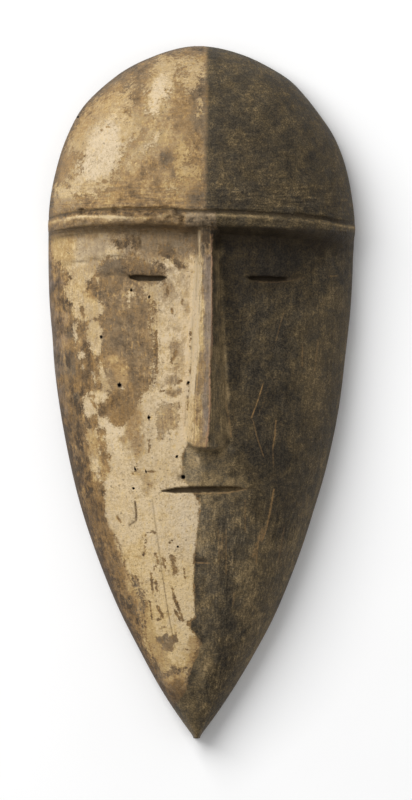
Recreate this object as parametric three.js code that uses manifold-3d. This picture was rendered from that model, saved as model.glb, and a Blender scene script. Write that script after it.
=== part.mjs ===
// A carved wooden miniature face mask with a domed forehead, a rolled brow band, a long wedge nose,
// gouged slits for the eyes and the mouth, and a pointed chin. One block of wood, hollowed from behind.
// Millimetres. The mask lies on the flat rim of its back: +X to the viewer's right, +Y to the crown,
// +Z out of the face. The origin is under the middle of its box, on the surface it lies on.
import * as THREE from "three";
import { mergeVertices } from "three/addons/utils/BufferGeometryUtils.js";
import Module from "manifold-3d";

// Outline, seen from the front
const CROWN_Y = 125;
const CHIN_Y = -125;
const WIDEST_Y = 57.5;
const HALF_WIDTH = 55.1;
const CROWN_POWERS = [2.37, 1.765];
const CHEEK_POWERS = [2.245, 0.908];
const CROWN_LEAN = -0.85;
const CHIN_LEAN = -1.56;
const BLUNT_TIP = 1.2;

// Where the carver's edge strays from the regular curve: [y, outward push, spread]
const LEFT_STRAYS = [
  [122, -0.8, 3], [103, 0.6, 6], [81, -0.5, 11], [20, -0.3, 8], [-40, 0.25, 16], [-93, -0.35, 11],
];
const RIGHT_STRAYS = [
  [113, 0.7, 4], [101, -0.5, 6], [60, 0.5, 8], [13, -0.4, 13], [-43, -0.25, 10], [-81, 0.35, 12],
];

// Heights of the front, measured from the back plane
const EDGE_HEIGHT = 5;
const DOME_RISE = 40;
const DOME_SECTION = [2.25, 1.9];
const FACE_SECTION = [2.5, 1.75];
const FACE_RISE = [
  [CHIN_Y, 8], [-112, 12.5], [-90, 19.5], [-62, 26.2], [-35, 30],
  [-8, 31.6], [25, 31], [45, 29.8], [62, 29.2],
];

// Brow band: a roll between a scored line above and the drop to the face below
const BAND_TOP_Y = 65.8;
const BAND_CREST_X = -10;
const BAND_DROP = { left: [2.6, 43.4, 5], right: [4.1, 64.6, 2.3] };
const BAND_PROFILE = [
  [-8.2, -1.6], [-5.7, -1.1], [-4.6, 0.3], [-3.2, 0.95],
  [-1.8, 1.15], [-0.7, 0.35], [0, -0.9], [0.8, 0], [2.5, 0],
];
const BAND_SPREAD = 0.12;
const STEP_TOP = -5.3;
const STEP_FOOT = -8.2;
const BEND_REACH = 15;

// Nose: a wedge whose flat bridge leans to the viewer's left. [y, x] of its four long edges
const NOSE_TOP_Y = 58.5;
const NOSE_END_Y = -20;
const NOSE_EDGES = [
  [[NOSE_END_Y, -5.6], [-3, -4.7], [12, -3.7], [28, -3.1], [NOSE_TOP_Y, -1.5]],
  [[NOSE_END_Y, -2.4], [-3, -1.8], [12, -0.9], [28, -0.2], [NOSE_TOP_Y, 0.2]],
  [[NOSE_END_Y, 2.8], [-3, 3.4], [12, 3.5], [28, 4], [NOSE_TOP_Y, 4]],
  [[NOSE_END_Y, 10.5], [-3, 9.4], [12, 8.4], [28, 7.5], [NOSE_TOP_Y, 6.9]],
];
const BRIDGE_Z = [[NOSE_END_Y, 46], [0, 46.2], [30, 44.8], [NOSE_TOP_Y, 42.6]];
const NOSE_END_DROP = 1.2;
const NOSE_END_LIFT = 3;
const NOSE_BEND_REACH = 7;

// Gouged slits: middle, half length, half height, depth, and how far the floor sits below the middle
const EYE_LEFT = { x: -19.1, y: 40.7, half: 6.9, open: 1, deep: 5, sag: 0.3 };
const EYE_RIGHT = { x: 24.3, y: 40.6, half: 7.6, open: 1.1, deep: 4.5, sag: 0.4 };
const MOUTH = { x: 1.2, y: -35.3, half: 14.8, open: 1.15, deep: 3.6, sag: -0.3 };
const SLIT_STATIONS = 12;
const SLIT_CLEAR = 4;

// Hollow of the back, inside a rim of even width
const RIM_WIDTH = 8.5;
const HOLLOW_CHIN_INSET = 19;
const HOLLOW_SECTION = [2.4, 1.8];
const HOLLOW_RISE = [
  [CHIN_Y, 6], [-104, 9], [-80, 16.5], [-50, 23.5], [-20, 27], [20, 27.5], [45, 27.5], [65, 31], [85, 34],
];

// Mesh density
const CROWN_ROWS = 15;
const FACE_ROWS = 17;
const CHIN_ROWS = 17;
const SIDE_COLUMNS = 13;
const BRIDGE_COLUMNS = 2;
const HOLLOW_COLUMNS = 16;

const WOOD = new THREE.MeshStandardMaterial({ color: 0x8a6f4e, roughness: 0.8, metalness: 0 });

const clamp01 = (t) => Math.min(Math.max(t, 0), 1);
const smooth = (t) => clamp01(t) ** 2 * (3 - 2 * clamp01(t));
const mix = (a, b, t) => a + (b - a) * t;

// A smooth curve through [position, value] pairs in rising order, level beyond both ends.
function through(points, t) {
  const last = points.length - 1;
  if (t <= points[0][0]) return points[0][1];
  if (t >= points[last][0]) return points[last][1];
  const i = points.findIndex((point, k) => k < last && t <= points[k + 1][0]);
  const slope = (k) => {
    const before = points[Math.max(k - 1, 0)];
    const after = points[Math.min(k + 1, last)];
    return (after[1] - before[1]) / (after[0] - before[0]);
  };
  const span = points[i + 1][0] - points[i][0];
  const s = (t - points[i][0]) / span;
  const rise = s * s * (3 - 2 * s);
  const bend = span * (slope(i) * s * (1 - s) ** 2 - slope(i + 1) * s * s * (1 - s));
  return mix(points[i][1], points[i + 1][1], rise) + bend;
}

// Half width of the outline at y, for the whole mask or, with insets, for its hollow.
function halfWidth(y, inset = 0, chinInset = 0) {
  const width = HALF_WIDTH - inset;
  if (y > WIDEST_Y) {
    const up = clamp01((y - WIDEST_Y) / (CROWN_Y - inset - WIDEST_Y));
    return width * (1 - up ** CROWN_POWERS[0]) ** (1 / CROWN_POWERS[1]);
  }
  const down = clamp01((WIDEST_Y - y) / (WIDEST_Y - CHIN_Y - chinInset));
  return width * (1 - down ** CHEEK_POWERS[0]) ** CHEEK_POWERS[1];
}

// X of the outline's middle at y: the crown and the chin both lean a little to the left.
function middleX(y) {
  if (y > WIDEST_Y) return CROWN_LEAN * ((y - WIDEST_Y) / (CROWN_Y - WIDEST_Y)) ** 2;
  return (CHIN_LEAN * (WIDEST_Y - y)) / (WIDEST_Y - CHIN_Y);
}

function stray(list, y) {
  return list.reduce((sum, [at, push, spread]) => sum + push * Math.exp(-(((y - at) / spread) ** 2)), 0);
}

// How far the band's lines have dropped at x from their crest.
function bandDrop(x) {
  const [drop, reach, power] = x < BAND_CREST_X ? BAND_DROP.left : BAND_DROP.right;
  return drop * Math.min(Math.abs(x - BAND_CREST_X) / reach, 1.1) ** power;
}

// Distance above the band's scored line, measured as if the band were straight.
const aboveBand = (x, y) => y + bandDrop(x) - BAND_TOP_Y;

// Half width on one side of the middle, with the band's swell and the strays.
function sideWidth(x, y, side) {
  const strays = stray(side < 0 ? LEFT_STRAYS : RIGHT_STRAYS, y);
  const swell = BAND_SPREAD * Math.max(through(BAND_PROFILE, aboveBand(x, y)), -0.4);
  const regular = halfWidth(y);
  return Math.hypot(regular + (strays + swell) * smooth(regular / 12), BLUNT_TIP);
}

// Share of a section's rise at a share of its half width.
const section = (share, [p, q]) => (1 - clamp01(Math.abs(share)) ** p) ** (1 / q);

// Height of the front without the nose, at a share (-1 to 1) of the half width.
function faceZ(x, y, share) {
  const above = aboveBand(x, y);
  const up = clamp01((y - WIDEST_Y) / (CROWN_Y - WIDEST_Y));
  const dome = DOME_RISE * (1 - up ** CROWN_POWERS[0]) ** (1 / CROWN_POWERS[1]);
  const band = through(BAND_PROFILE, above) * smooth((dome + 1) / 10);
  const forehead = (dome + band) * section(share, DOME_SECTION);
  const face = through(FACE_RISE, y) * section(share, FACE_SECTION);
  const onForehead = clamp01((above - STEP_FOOT) / (STEP_TOP - STEP_FOOT));
  return EDGE_HEIGHT + mix(face, forehead, onForehead);
}

// Y of the nose's lower end at x: it curves up at both sides.
function noseEndLift(x) {
  const left = NOSE_EDGES[0][0][1];
  const right = NOSE_EDGES[3][0][1];
  const across = (2 * x - left - right) / (right - left);
  return NOSE_END_LIFT * Math.min(Math.abs(across), 1.1) ** 3;
}

// Height of the front with the nose.
function frontZ(x, y, share) {
  const face = faceZ(x, y, share);
  const edges = NOSE_EDGES.map((edge) => through(edge, y));
  if (x <= edges[0] || x >= edges[3] || y > NOSE_TOP_Y) return face;
  const left = (x - edges[0]) / (edges[1] - edges[0]);
  const right = (edges[3] - x) / (edges[3] - edges[2]);
  const end = clamp01((y - NOSE_END_Y - noseEndLift(x) + NOSE_END_DROP) / NOSE_END_DROP);
  const nose = mix(face, through(BRIDGE_Z, y), Math.min(left, right, 1) * end);
  return Math.max(nose, face);
}

// Rows as y at the crest of the band. They bend with the band and with the nose's lower end.
function rowLevels() {
  const bandRows = BAND_PROFILE.slice(1).map(([above]) => BAND_TOP_Y + above).reverse();
  const crown = Array.from({ length: CROWN_ROWS }, (none, i) => {
    const t = i / CROWN_ROWS;
    return mix(CROWN_Y, bandRows[0], t ** 1.7);
  });
  const foot = BAND_TOP_Y + STEP_FOOT;
  const face = Array.from({ length: FACE_ROWS }, (none, i) => mix(foot, NOSE_END_Y, i / FACE_ROWS));
  const noseEnd = [NOSE_END_Y, NOSE_END_Y - NOSE_END_DROP];
  const chin = Array.from({ length: CHIN_ROWS }, (none, i) => {
    const t = (i + 1) / CHIN_ROWS;
    return mix(NOSE_END_Y - NOSE_END_DROP, CHIN_Y, t * (1.35 - 0.35 * t));
  });
  return [...crown, ...bandRows, ...face, ...noseEnd, ...chin];
}

function rowY(level, x) {
  const bandFade = Math.exp(-(((level - BAND_TOP_Y) / BEND_REACH) ** 2));
  const noseFade = Math.exp(-(((level - NOSE_END_Y) / NOSE_BEND_REACH) ** 2));
  return level - bandDrop(x) * bandFade + noseEndLift(x) * noseFade * noseFade;
}

// Column shares of one row: evenly turned from each edge to the nose's base, then across the nose.
function columnShares(level) {
  const y = Math.min(Math.max(level, NOSE_END_Y), NOSE_TOP_Y);
  const width = halfWidth(y);
  const edges = NOSE_EDGES.map((edge) => (through(edge, y) - middleX(y)) / width);
  const turn = edges.map((share) => Math.asin(share));
  const shares = [];
  for (let i = 0; i < SIDE_COLUMNS; i += 1) {
    shares.push(Math.sin(mix(-Math.PI / 2, turn[0], i / SIDE_COLUMNS)));
  }
  shares.push(edges[0]);
  for (let i = 0; i <= BRIDGE_COLUMNS; i += 1) {
    shares.push(mix(edges[1], edges[2], i / BRIDGE_COLUMNS));
  }
  for (let i = 0; i <= SIDE_COLUMNS; i += 1) {
    shares.push(Math.sin(mix(turn[3], Math.PI / 2, i / SIDE_COLUMNS)));
  }
  return shares;
}

// One point of the front: the share sets x, and x sets how far the row has bent.
function frontPoint(level, share) {
  let x = middleX(level) + share * halfWidth(level);
  let y = level;
  const isEnd = level >= CROWN_Y || level <= CHIN_Y;
  for (let pass = 0; pass < 4; pass += 1) {
    y = isEnd ? level : rowY(level, x);
    x = middleX(y) + share * sideWidth(x, y, Math.sign(share));
  }
  return new THREE.Vector3(x, y, frontZ(x, y, share));
}

function hollowPoint(level, share) {
  const t = (level - CHIN_Y) / (CROWN_Y - CHIN_Y);
  const y = mix(CHIN_Y + HOLLOW_CHIN_INSET, CROWN_Y - RIM_WIDTH, t);
  const width = halfWidth(y, RIM_WIDTH, HOLLOW_CHIN_INSET);
  const up = clamp01((y - WIDEST_Y) / (CROWN_Y - RIM_WIDTH - WIDEST_Y));
  const crown = (1 - up ** CROWN_POWERS[0]) ** (1 / CROWN_POWERS[1]);
  const chin = smooth(width / 14) ** 0.5;
  const rise = through(HOLLOW_RISE, y) * crown * chin;
  return new THREE.Vector3(middleX(y) + share * width, y, rise * section(share, HOLLOW_SECTION));
}

// A closed mesh from loops of points: neighbouring loops are joined by quads, the end loops are filled.
function loftedLoops(loops) {
  const count = loops[0].length;
  const lastLoop = (loops.length - 1) * count;
  const positions = loops.flat().flatMap((point) => [point.x, point.y, point.z]);
  const index = [];
  for (let i = 1; i < count - 1; i += 1) {
    index.push(0, i, i + 1, lastLoop, lastLoop + i + 1, lastLoop + i);
  }
  for (let row = 0; row < loops.length - 1; row += 1) {
    for (let i = 0; i < count; i += 1) {
      const a = row * count + i;
      const b = row * count + ((i + 1) % count);
      index.push(a, a + count, b, b, a + count, b + count);
    }
  }
  const geometry = new THREE.BufferGeometry();
  geometry.setAttribute("position", new THREE.Float32BufferAttribute(positions, 3));
  geometry.setIndex(index);
  return geometry;
}

// The carved block: each row runs over the front, down the edge, across the rim and through the hollow.
function blockGeometry() {
  const hollowShares = Array.from({ length: HOLLOW_COLUMNS + 1 }, (none, i) =>
    Math.sin(mix(Math.PI / 2, -Math.PI / 2, i / HOLLOW_COLUMNS)),
  );
  const loops = rowLevels().map((level) => {
    const front = columnShares(level).map((share) => frontPoint(level, share));
    const back = hollowShares.map((share) => hollowPoint(level, share));
    const leftFoot = front[0].clone().setZ(0);
    const rightFoot = front[front.length - 1].clone().setZ(0);
    return [leftFoot, ...front, rightFoot, ...back];
  });
  return loftedLoops(loops);
}

// A gouge: a boat-shaped cutter with a steep upper wall and a slanting lower one.
function slitGeometry({ x, y, half, open, deep, sag }) {
  const loops = Array.from({ length: SLIT_STATIONS + 1 }, (none, i) => {
    const along = Math.sin(mix(-Math.PI / 2, Math.PI / 2, i / SLIT_STATIONS));
    const fullness = Math.max(1 - along * along, 0) ** 0.5;
    const px = x + along * half;
    const middle = y - sag * (fullness - 0.5);
    const share = (px - middleX(y)) / halfWidth(y);
    const top = frontZ(px, y, share);
    const height = open * fullness;
    const floor = top - deep * fullness;
    return [
      new THREE.Vector3(px, middle + height * 1.1, top + SLIT_CLEAR),
      new THREE.Vector3(px, middle + height * 0.55, floor),
      new THREE.Vector3(px, middle - height * 0.35, floor),
      new THREE.Vector3(px, middle - height * 1.5, top + SLIT_CLEAR),
    ];
  });
  return loftedLoops(loops);
}

const manifold = await Module();
manifold.setup();

function toSolid(geometry) {
  const merged = mergeVertices(geometry, 1e-4);
  const triVerts = new Uint32Array(merged.index.array);
  const kept = [];
  for (let i = 0; i < triVerts.length; i += 3) {
    const [a, b, c] = triVerts.slice(i, i + 3);
    if (a !== b && b !== c && c !== a) kept.push(a, b, c);
  }
  return new manifold.Manifold(
    new manifold.Mesh({
      numProp: 3,
      vertProperties: merged.attributes.position.array,
      triVerts: new Uint32Array(kept),
    }),
  );
}

function toGeometry(solid) {
  const mesh = solid.getMesh();
  const geometry = new THREE.BufferGeometry();
  geometry.setAttribute("position", new THREE.Float32BufferAttribute(mesh.vertProperties, mesh.numProp));
  geometry.setIndex([...mesh.triVerts]);
  geometry.computeVertexNormals();
  return geometry;
}

const slits = [EYE_LEFT, EYE_RIGHT, MOUTH].map((slit) => toSolid(slitGeometry(slit)));
const carved = slits.reduce((solid, slit) => solid.subtract(slit), toSolid(blockGeometry()));

const mask = new THREE.Mesh(toGeometry(carved), WOOD);
mask.name = "mask";

const part = new THREE.Group();
part.add(mask);

export default part;
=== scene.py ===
# A carved wooden miniature mask that lies on its back: pale pigment on one half, dark on the other.
# Lengths are in millimetres until the mesh is made; Blender's own objects are in metres.
import math
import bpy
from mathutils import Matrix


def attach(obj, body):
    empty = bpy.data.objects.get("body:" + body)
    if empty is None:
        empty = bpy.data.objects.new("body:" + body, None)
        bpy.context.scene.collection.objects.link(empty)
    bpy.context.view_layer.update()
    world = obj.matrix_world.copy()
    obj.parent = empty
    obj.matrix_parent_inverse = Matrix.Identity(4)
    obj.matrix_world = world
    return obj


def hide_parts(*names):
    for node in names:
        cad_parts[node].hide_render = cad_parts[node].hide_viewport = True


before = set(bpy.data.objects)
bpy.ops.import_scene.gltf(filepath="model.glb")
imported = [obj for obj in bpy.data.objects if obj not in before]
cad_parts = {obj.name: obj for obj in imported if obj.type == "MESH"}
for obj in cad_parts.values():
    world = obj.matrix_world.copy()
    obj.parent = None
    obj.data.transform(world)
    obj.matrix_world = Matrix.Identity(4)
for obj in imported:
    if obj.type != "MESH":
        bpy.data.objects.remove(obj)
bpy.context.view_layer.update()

from types import SimpleNamespace

import bmesh
import bpy
import numpy as np
from mathutils import Vector

METRE = 0.001

# Outline and heights, as the solid has them
CROWN_Y, CHIN_Y, WIDEST_Y = 125.0, -125.0, 57.5
HALF_WIDTH = 55.1
CROWN_POWERS = (2.37, 1.765)
CHEEK_POWERS = (2.245, 0.908)
CROWN_LEAN, CHIN_LEAN = -0.85, -1.56
BLUNT_TIP = 1.2
EDGE_HEIGHT = 5.0
DOME_RISE = 40.0
DOME_SECTION = (2.25, 1.9)
FACE_SECTION = (2.5, 1.75)
FACE_RISE = [
    (CHIN_Y, 8), (-112, 12.5), (-90, 19.5), (-62, 26.2), (-35, 30),
    (-8, 31.6), (25, 31), (45, 29.8), (62, 29.2),
]

# Where the carver's edge strays from the regular curve: (y, outward push, spread)
LEFT_STRAYS = [
    (122, -0.8, 3), (103, 0.6, 6), (81, -0.5, 11), (20, -0.3, 8), (-40, 0.25, 16), (-93, -0.35, 11),
]
RIGHT_STRAYS = [
    (113, 0.7, 4), (101, -0.5, 6), (60, 0.5, 8), (13, -0.4, 13), (-43, -0.25, 10), (-81, 0.35, 12),
]
STRAY_FADE = 12.0

# Brow band: a roll between a scored line above and the drop to the face below
BAND_TOP_Y = 65.8
BAND_CREST_X = -10.0
BAND_DROP_LEFT = (2.6, 43.4, 5)
BAND_DROP_RIGHT = (4.1, 64.6, 2.3)
BAND_BREAK_X, BAND_STEP, BAND_STEP_REACH = -12.0, 0.7, 7.0
BAND_PROFILE = [
    (-8.2, -1.6), (-5.7, -1.1), (-4.6, 0.3), (-3.2, 0.95),
    (-1.8, 1.15), (-0.7, 0.35), (0, -0.9), (0.8, 0), (2.5, 0),
]
BAND_SPREAD, LEAST_SWELL = 0.12, -0.4
BAND_FADE = 10.0
STEP_TOP, STEP_FOOT = -5.3, -8.2
BEND_REACH = 15.0

# The number of reaches beyond which the band drops and the nose's end lifts no further
REACH_CAP = 1.1

# Nose: a wedge whose flat bridge leans to the viewer's left, as (y, x) of its four long edges
NOSE_ROOT_Y, NOSE_TOP_Y, NOSE_END_Y = 61.5, 58.5, -20.0
NOSE_EDGES = [
    [(NOSE_END_Y, -5.6), (-3, -4.7), (12, -3.7), (28, -3.1), (NOSE_TOP_Y, -1.5)],
    [(NOSE_END_Y, -2.4), (-3, -1.8), (12, -0.9), (28, -0.2), (NOSE_TOP_Y, 0.2)],
    [(NOSE_END_Y, 2.8), (-3, 3.4), (12, 3.5), (28, 4), (NOSE_TOP_Y, 4)],
    [(NOSE_END_Y, 10.5), (-3, 9.4), (12, 8.4), (28, 7.5), (NOSE_TOP_Y, 6.9)],
]
BRIDGE_Z = [(NOSE_END_Y, 46), (0, 46.2), (30, 44.8), (NOSE_TOP_Y, 42.6)]
NOSE_END_DROP = 1.2
NOSE_END_LIFT = 3.0
NOSE_BEND_REACH = 7.0

# Hollow of the back, inside a rim of even width
RIM_WIDTH = 8.5
HOLLOW_CHIN_INSET = 19.0
HOLLOW_CHIN_FADE = 14.0
HOLLOW_SECTION = (2.4, 1.8)
HOLLOW_RISE = [
    (CHIN_Y, 6), (-104, 9), (-80, 16.5), (-50, 23.5), (-20, 27), (20, 27.5), (45, 27.5), (65, 31), (85, 34),
]

# The photograph's frame, and what one of its pixels measures on the mask
FRAME_WIDTH, FRAME_HEIGHT = 412, 800
PIXEL = 250 / 692
ORIGIN_PIXEL = (200.9, 392.0)


def pixel_x(px):
    return (px - ORIGIN_PIXEL[0]) * PIXEL


def pixel_y(py):
    return (ORIGIN_PIXEL[1] - py) * PIXEL


def place(px, py):
    """Where a pixel of the photograph falls on the mask, in millimetres."""
    return (pixel_x(px), pixel_y(py))


# Plain functions of numbers or arrays
def clamp01(t):
    return np.clip(t, 0.0, 1.0)


def smooth(t):
    t = clamp01(t)
    return t * t * (3 - 2 * t)


def mix(a, b, t):
    return a + (b - a) * t


def through(points, t):
    """A smooth curve through (position, value) pairs in rising order, level beyond both ends."""
    at = np.array([p[0] for p in points], float)
    value = np.array([p[1] for p in points], float)
    last = len(points) - 1
    before = np.maximum(np.arange(last + 1) - 1, 0)
    after = np.minimum(np.arange(last + 1) + 1, last)
    slope = (value[after] - value[before]) / (at[after] - at[before])
    t = np.clip(t, at[0], at[-1])
    i = np.clip(np.searchsorted(at, t, side="left") - 1, 0, last - 1)
    span = at[i + 1] - at[i]
    s = (t - at[i]) / span
    rise = s * s * (3 - 2 * s)
    bend = span * (slope[i] * s * (1 - s) ** 2 - slope[i + 1] * s * s * (1 - s))
    return mix(value[i], value[i + 1], rise) + bend


def section(share, powers):
    """Height of a rounded cross-section: 1 in its middle, 0 at either edge."""
    p, q = powers
    return (1 - clamp01(np.abs(share)) ** p) ** (1 / q)


# Seeded unevenness: how many cells its tables have, and shifts that keep cell borders off the mask's middle
LATTICE_CELLS, LATTICE_SHIFT = 257, (100.37, 100.71)
GOUGE_CELLS, GOUGE_SHIFT = 64, (20.3, 20.6)


def lattice_noise(x, y, size_x, size_y, seed):
    """Smooth noise from -1 to 1 whose lumps measure size_x by size_y."""
    table = np.random.default_rng(seed).uniform(-1, 1, (LATTICE_CELLS, LATTICE_CELLS))
    u, v = x / size_x + LATTICE_SHIFT[0], y / size_y + LATTICE_SHIFT[1]
    left, low = np.floor(u).astype(int), np.floor(v).astype(int)
    across, up = smooth(u - left), smooth(v - low)

    def corner(column, row):
        return table[column % LATTICE_CELLS, row % LATTICE_CELLS]

    lower = mix(corner(left, low), corner(left + 1, low), across)
    upper = mix(corner(left, low + 1), corner(left + 1, low + 1), across)
    return mix(lower, upper, up)


def layered_noise(x, y, size_x, size_y, seed, layers=3):
    """Lattice noise in layers, each of half the size and half the strength of the one before."""
    total = sum(
        lattice_noise(x, y, size_x / 2**n, size_y / 2**n, seed + n) / 2**n for n in range(layers)
    )
    return total / (2 - 2 ** (1 - layers))


def gouge_marks(x, y, width, length, seed):
    """0 at the middle of each gouge mark, rising to about 1 at the ridges between marks."""
    jitter = np.random.default_rng(seed).uniform(0.1, 0.9, (GOUGE_CELLS, GOUGE_CELLS, 2))
    u, v = x / width + GOUGE_SHIFT[0], y / length + GOUGE_SHIFT[1]
    iu, iv = np.floor(u).astype(int), np.floor(v).astype(int)
    nearest = np.full(np.shape(u), 9.0)
    for du in (-1, 0, 1):
        for dv in (-1, 0, 1):
            spot = jitter[(iu + du) % GOUGE_CELLS, (iv + dv) % GOUGE_CELLS]
            away = (iu + du + spot[..., 0] - u) ** 2 + (iv + dv + spot[..., 1] - v) ** 2
            nearest = np.minimum(nearest, away)
    return np.minimum(nearest * 2, 1.2)


# Form of the mask
def crown_curve(up):
    """How the outline, the dome and the hollow close from the widest line, 0, up to the crown, 1."""
    return (1 - up ** CROWN_POWERS[0]) ** (1 / CROWN_POWERS[1])


def half_width(y, inset=0.0, chin_inset=0.0):
    """Half width of the outline at y, for the whole mask or, with insets, for its hollow."""
    width = HALF_WIDTH - inset
    up = clamp01((y - WIDEST_Y) / (CROWN_Y - inset - WIDEST_Y))
    down = clamp01((WIDEST_Y - y) / (WIDEST_Y - CHIN_Y - chin_inset))
    cheek = width * (1 - down ** CHEEK_POWERS[0]) ** CHEEK_POWERS[1]
    return np.where(y > WIDEST_Y, width * crown_curve(up), cheek)


def middle_x(y):
    """The outline's middle at y: the crown and the chin both lean a little to the left."""
    crown = CROWN_LEAN * ((y - WIDEST_Y) / (CROWN_Y - WIDEST_Y)) ** 2
    chin = CHIN_LEAN * (WIDEST_Y - y) / (WIDEST_Y - CHIN_Y)
    return np.where(y > WIDEST_Y, crown, chin)


def stray(strays, y):
    """How far the edge strays outwards at y."""
    return sum(push * np.exp(-(((y - at) / spread) ** 2)) for at, push, spread in strays)


def band_drop(x):
    """How far the band's lines have dropped at x from their crest, with the step beside the break."""
    def side(drop, reach, power):
        return drop * np.minimum(np.abs(x - BAND_CREST_X) / reach, REACH_CAP) ** power

    step = BAND_STEP * smooth((x - BAND_BREAK_X) / BAND_STEP_REACH)
    return np.where(x < BAND_CREST_X, side(*BAND_DROP_LEFT), side(*BAND_DROP_RIGHT)) + step


def above_band(x, y):
    """Distance above the band's scored line, measured as if the band were straight."""
    return y + band_drop(x) - BAND_TOP_Y


def side_width(x, y, side):
    """Half width on one side, -1 or 1, with its strays and the band's swell."""
    strays = np.where(side < 0, stray(LEFT_STRAYS, y), stray(RIGHT_STRAYS, y))
    swell = BAND_SPREAD * np.maximum(through(BAND_PROFILE, above_band(x, y)), LEAST_SWELL)
    regular = half_width(y)
    return np.hypot(regular + (strays + swell) * smooth(regular / STRAY_FADE), BLUNT_TIP)


def face_z(x, y, share):
    """Height of the front without the nose; share runs from -1 to 1 across the face."""
    above = above_band(x, y)
    up = clamp01((y - WIDEST_Y) / (CROWN_Y - WIDEST_Y))
    dome = DOME_RISE * crown_curve(up)
    band = through(BAND_PROFILE, above) * smooth((dome + 1) / BAND_FADE)
    forehead = (dome + band) * section(share, DOME_SECTION)
    face = through(FACE_RISE, y) * section(share, FACE_SECTION)
    on_forehead = clamp01((above - STEP_FOOT) / (STEP_TOP - STEP_FOOT))
    return EDGE_HEIGHT + mix(face, forehead, on_forehead)


def nose_end_lift(x):
    """How much higher than in its middle the nose ends at x."""
    left, right = NOSE_EDGES[0][0][1], NOSE_EDGES[3][0][1]
    across = (2 * x - left - right) / (right - left)
    return NOSE_END_LIFT * np.minimum(np.abs(across), REACH_CAP) ** 3


def nose_share(x, y):
    """How far up the nose's sides a point is: 0 on the face, 1 on the bridge."""
    edges = [through(edge, y) for edge in NOSE_EDGES]
    left = (x - edges[0]) / (edges[1] - edges[0])
    right = (edges[3] - x) / (edges[3] - edges[2])
    end = clamp01((y - NOSE_END_Y - nose_end_lift(x) + NOSE_END_DROP) / NOSE_END_DROP)
    return np.where(y > NOSE_ROOT_Y, 0, clamp01(np.minimum(left, right)) * end)


def front_z(x, y, share):
    """Height of the smooth front, with the nose."""
    face = face_z(x, y, share)
    nose = mix(face, through(BRIDGE_Z, y), nose_share(x, y))
    return np.maximum(nose, face)


def row_y(level, x):
    """A row's y at x: rows bend with the band and with the nose's end."""
    band_fade = np.exp(-(((level - BAND_TOP_Y) / BEND_REACH) ** 2))
    nose_fade = np.exp(-(((level - NOSE_END_Y) / NOSE_BEND_REACH) ** 2))
    bent = level - band_drop(x) * band_fade + nose_end_lift(x) * nose_fade**2
    return np.where((level >= CROWN_Y) | (level <= CHIN_Y), level, bent)


# Rows and columns of the fine mesh; the rows crowd at (y, spread, how much closer)
ROWS = 340
ROW_CROWDS = [(62.0, 5.5, 2.8), (40.6, 2.6, 2.0), (-21.0, 2.5, 1.5), (-35.4, 2.4, 2.0)]
CROWN_CROWD, CHIN_CROWD = (3.0, 2.0), (1.5, 2.5)
LEFT_COLUMNS, RIGHT_COLUMNS = 114, 84
NOSE_COLUMNS = (6, 12, 12)
HOLLOW_COLUMNS = 40
WALL_STEPS = 4
RIM_STEPS = 5
EDGE_ROUND = 0.7


def row_levels():
    """Row heights from crown to chin, closer together where the carving is fine and at both ends."""
    y = np.linspace(CHIN_Y, CROWN_Y, 5001)
    crowd = 1 + sum(extra * np.exp(-(((y - at) / spread) ** 2)) for at, spread, extra in ROW_CROWDS)
    crown = CROWN_CROWD[0] * np.exp((y - CROWN_Y) / CROWN_CROWD[1])
    chin = CHIN_CROWD[0] * np.exp((CHIN_Y - y) / CHIN_CROWD[1])
    total = np.concatenate([[0], np.cumsum((crowd + (crown + chin))[1:])])
    levels = np.interp(np.linspace(total[-1], 0, ROWS), total, y)
    levels[0], levels[-1] = CROWN_Y, CHIN_Y
    return levels


def column_shares(levels):
    """Shares of the half width for each row: evenly from edge to nose, then across the nose."""
    y = np.clip(levels, NOSE_END_Y, NOSE_TOP_Y)
    edges = [(through(edge, y) - middle_x(y)) / half_width(y) for edge in NOSE_EDGES]

    def side(start, end, steps):
        t = np.linspace(0, 1, steps, endpoint=False)[None, :]
        straight = mix(start[:, None], end[:, None], t)
        turned = np.sin(mix(np.arcsin(start)[:, None], np.arcsin(end)[:, None], t))
        return mix(straight, turned, 0.5)

    ones = np.ones_like(edges[0])
    across = [
        mix(edges[n][:, None], edges[n + 1][:, None], np.linspace(0, 1, steps, endpoint=False)[None, :])
        for n, steps in enumerate(NOSE_COLUMNS)
    ]
    left = side(-ones, edges[0], LEFT_COLUMNS)
    right = side(edges[3], ones, RIGHT_COLUMNS)
    return np.hstack([left, *across, right, ones[:, None]])


def front_grid(levels):
    """Points of the smooth front; x and y are found by turns, because each bends the other."""
    share = column_shares(levels)
    level = levels[:, None]
    x = middle_x(level) + share * half_width(level)
    for _ in range(4):
        y = row_y(level, x)
        x = middle_x(y) + share * side_width(x, y, np.sign(share))
    return x, y, front_z(x, y, share)


def grid_normals(points):
    """Unit normals of a grid of points, out of the front."""
    along = np.gradient(points, axis=0)
    across = np.gradient(points, axis=1)
    normal = np.cross(along, across)
    length = np.linalg.norm(normal, axis=2, keepdims=True)
    normal = normal / np.maximum(length, 1e-9)
    return normal * np.where(normal[..., 2:3] < -0.05, -1, 1)


# Shapes drawn on the front, by pixels of the photograph
def outline_distance(x, y, outline):
    """Distance inside a closed outline, in millimetres; negative outside it."""
    closed = [*outline, outline[0]]
    corners = [place(*corner) for corner in closed]
    inside = np.zeros(x.shape, bool)
    for (ax, ay), (bx, by) in zip(corners, corners[1:]):
        if ay != by:
            crosses = (ay > y) != (by > y)
            inside ^= crosses & (x < ax + (bx - ax) * (y - ay) / (by - ay))
    return line_distance(x, y, closed) * np.where(inside, 1, -1)


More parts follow.
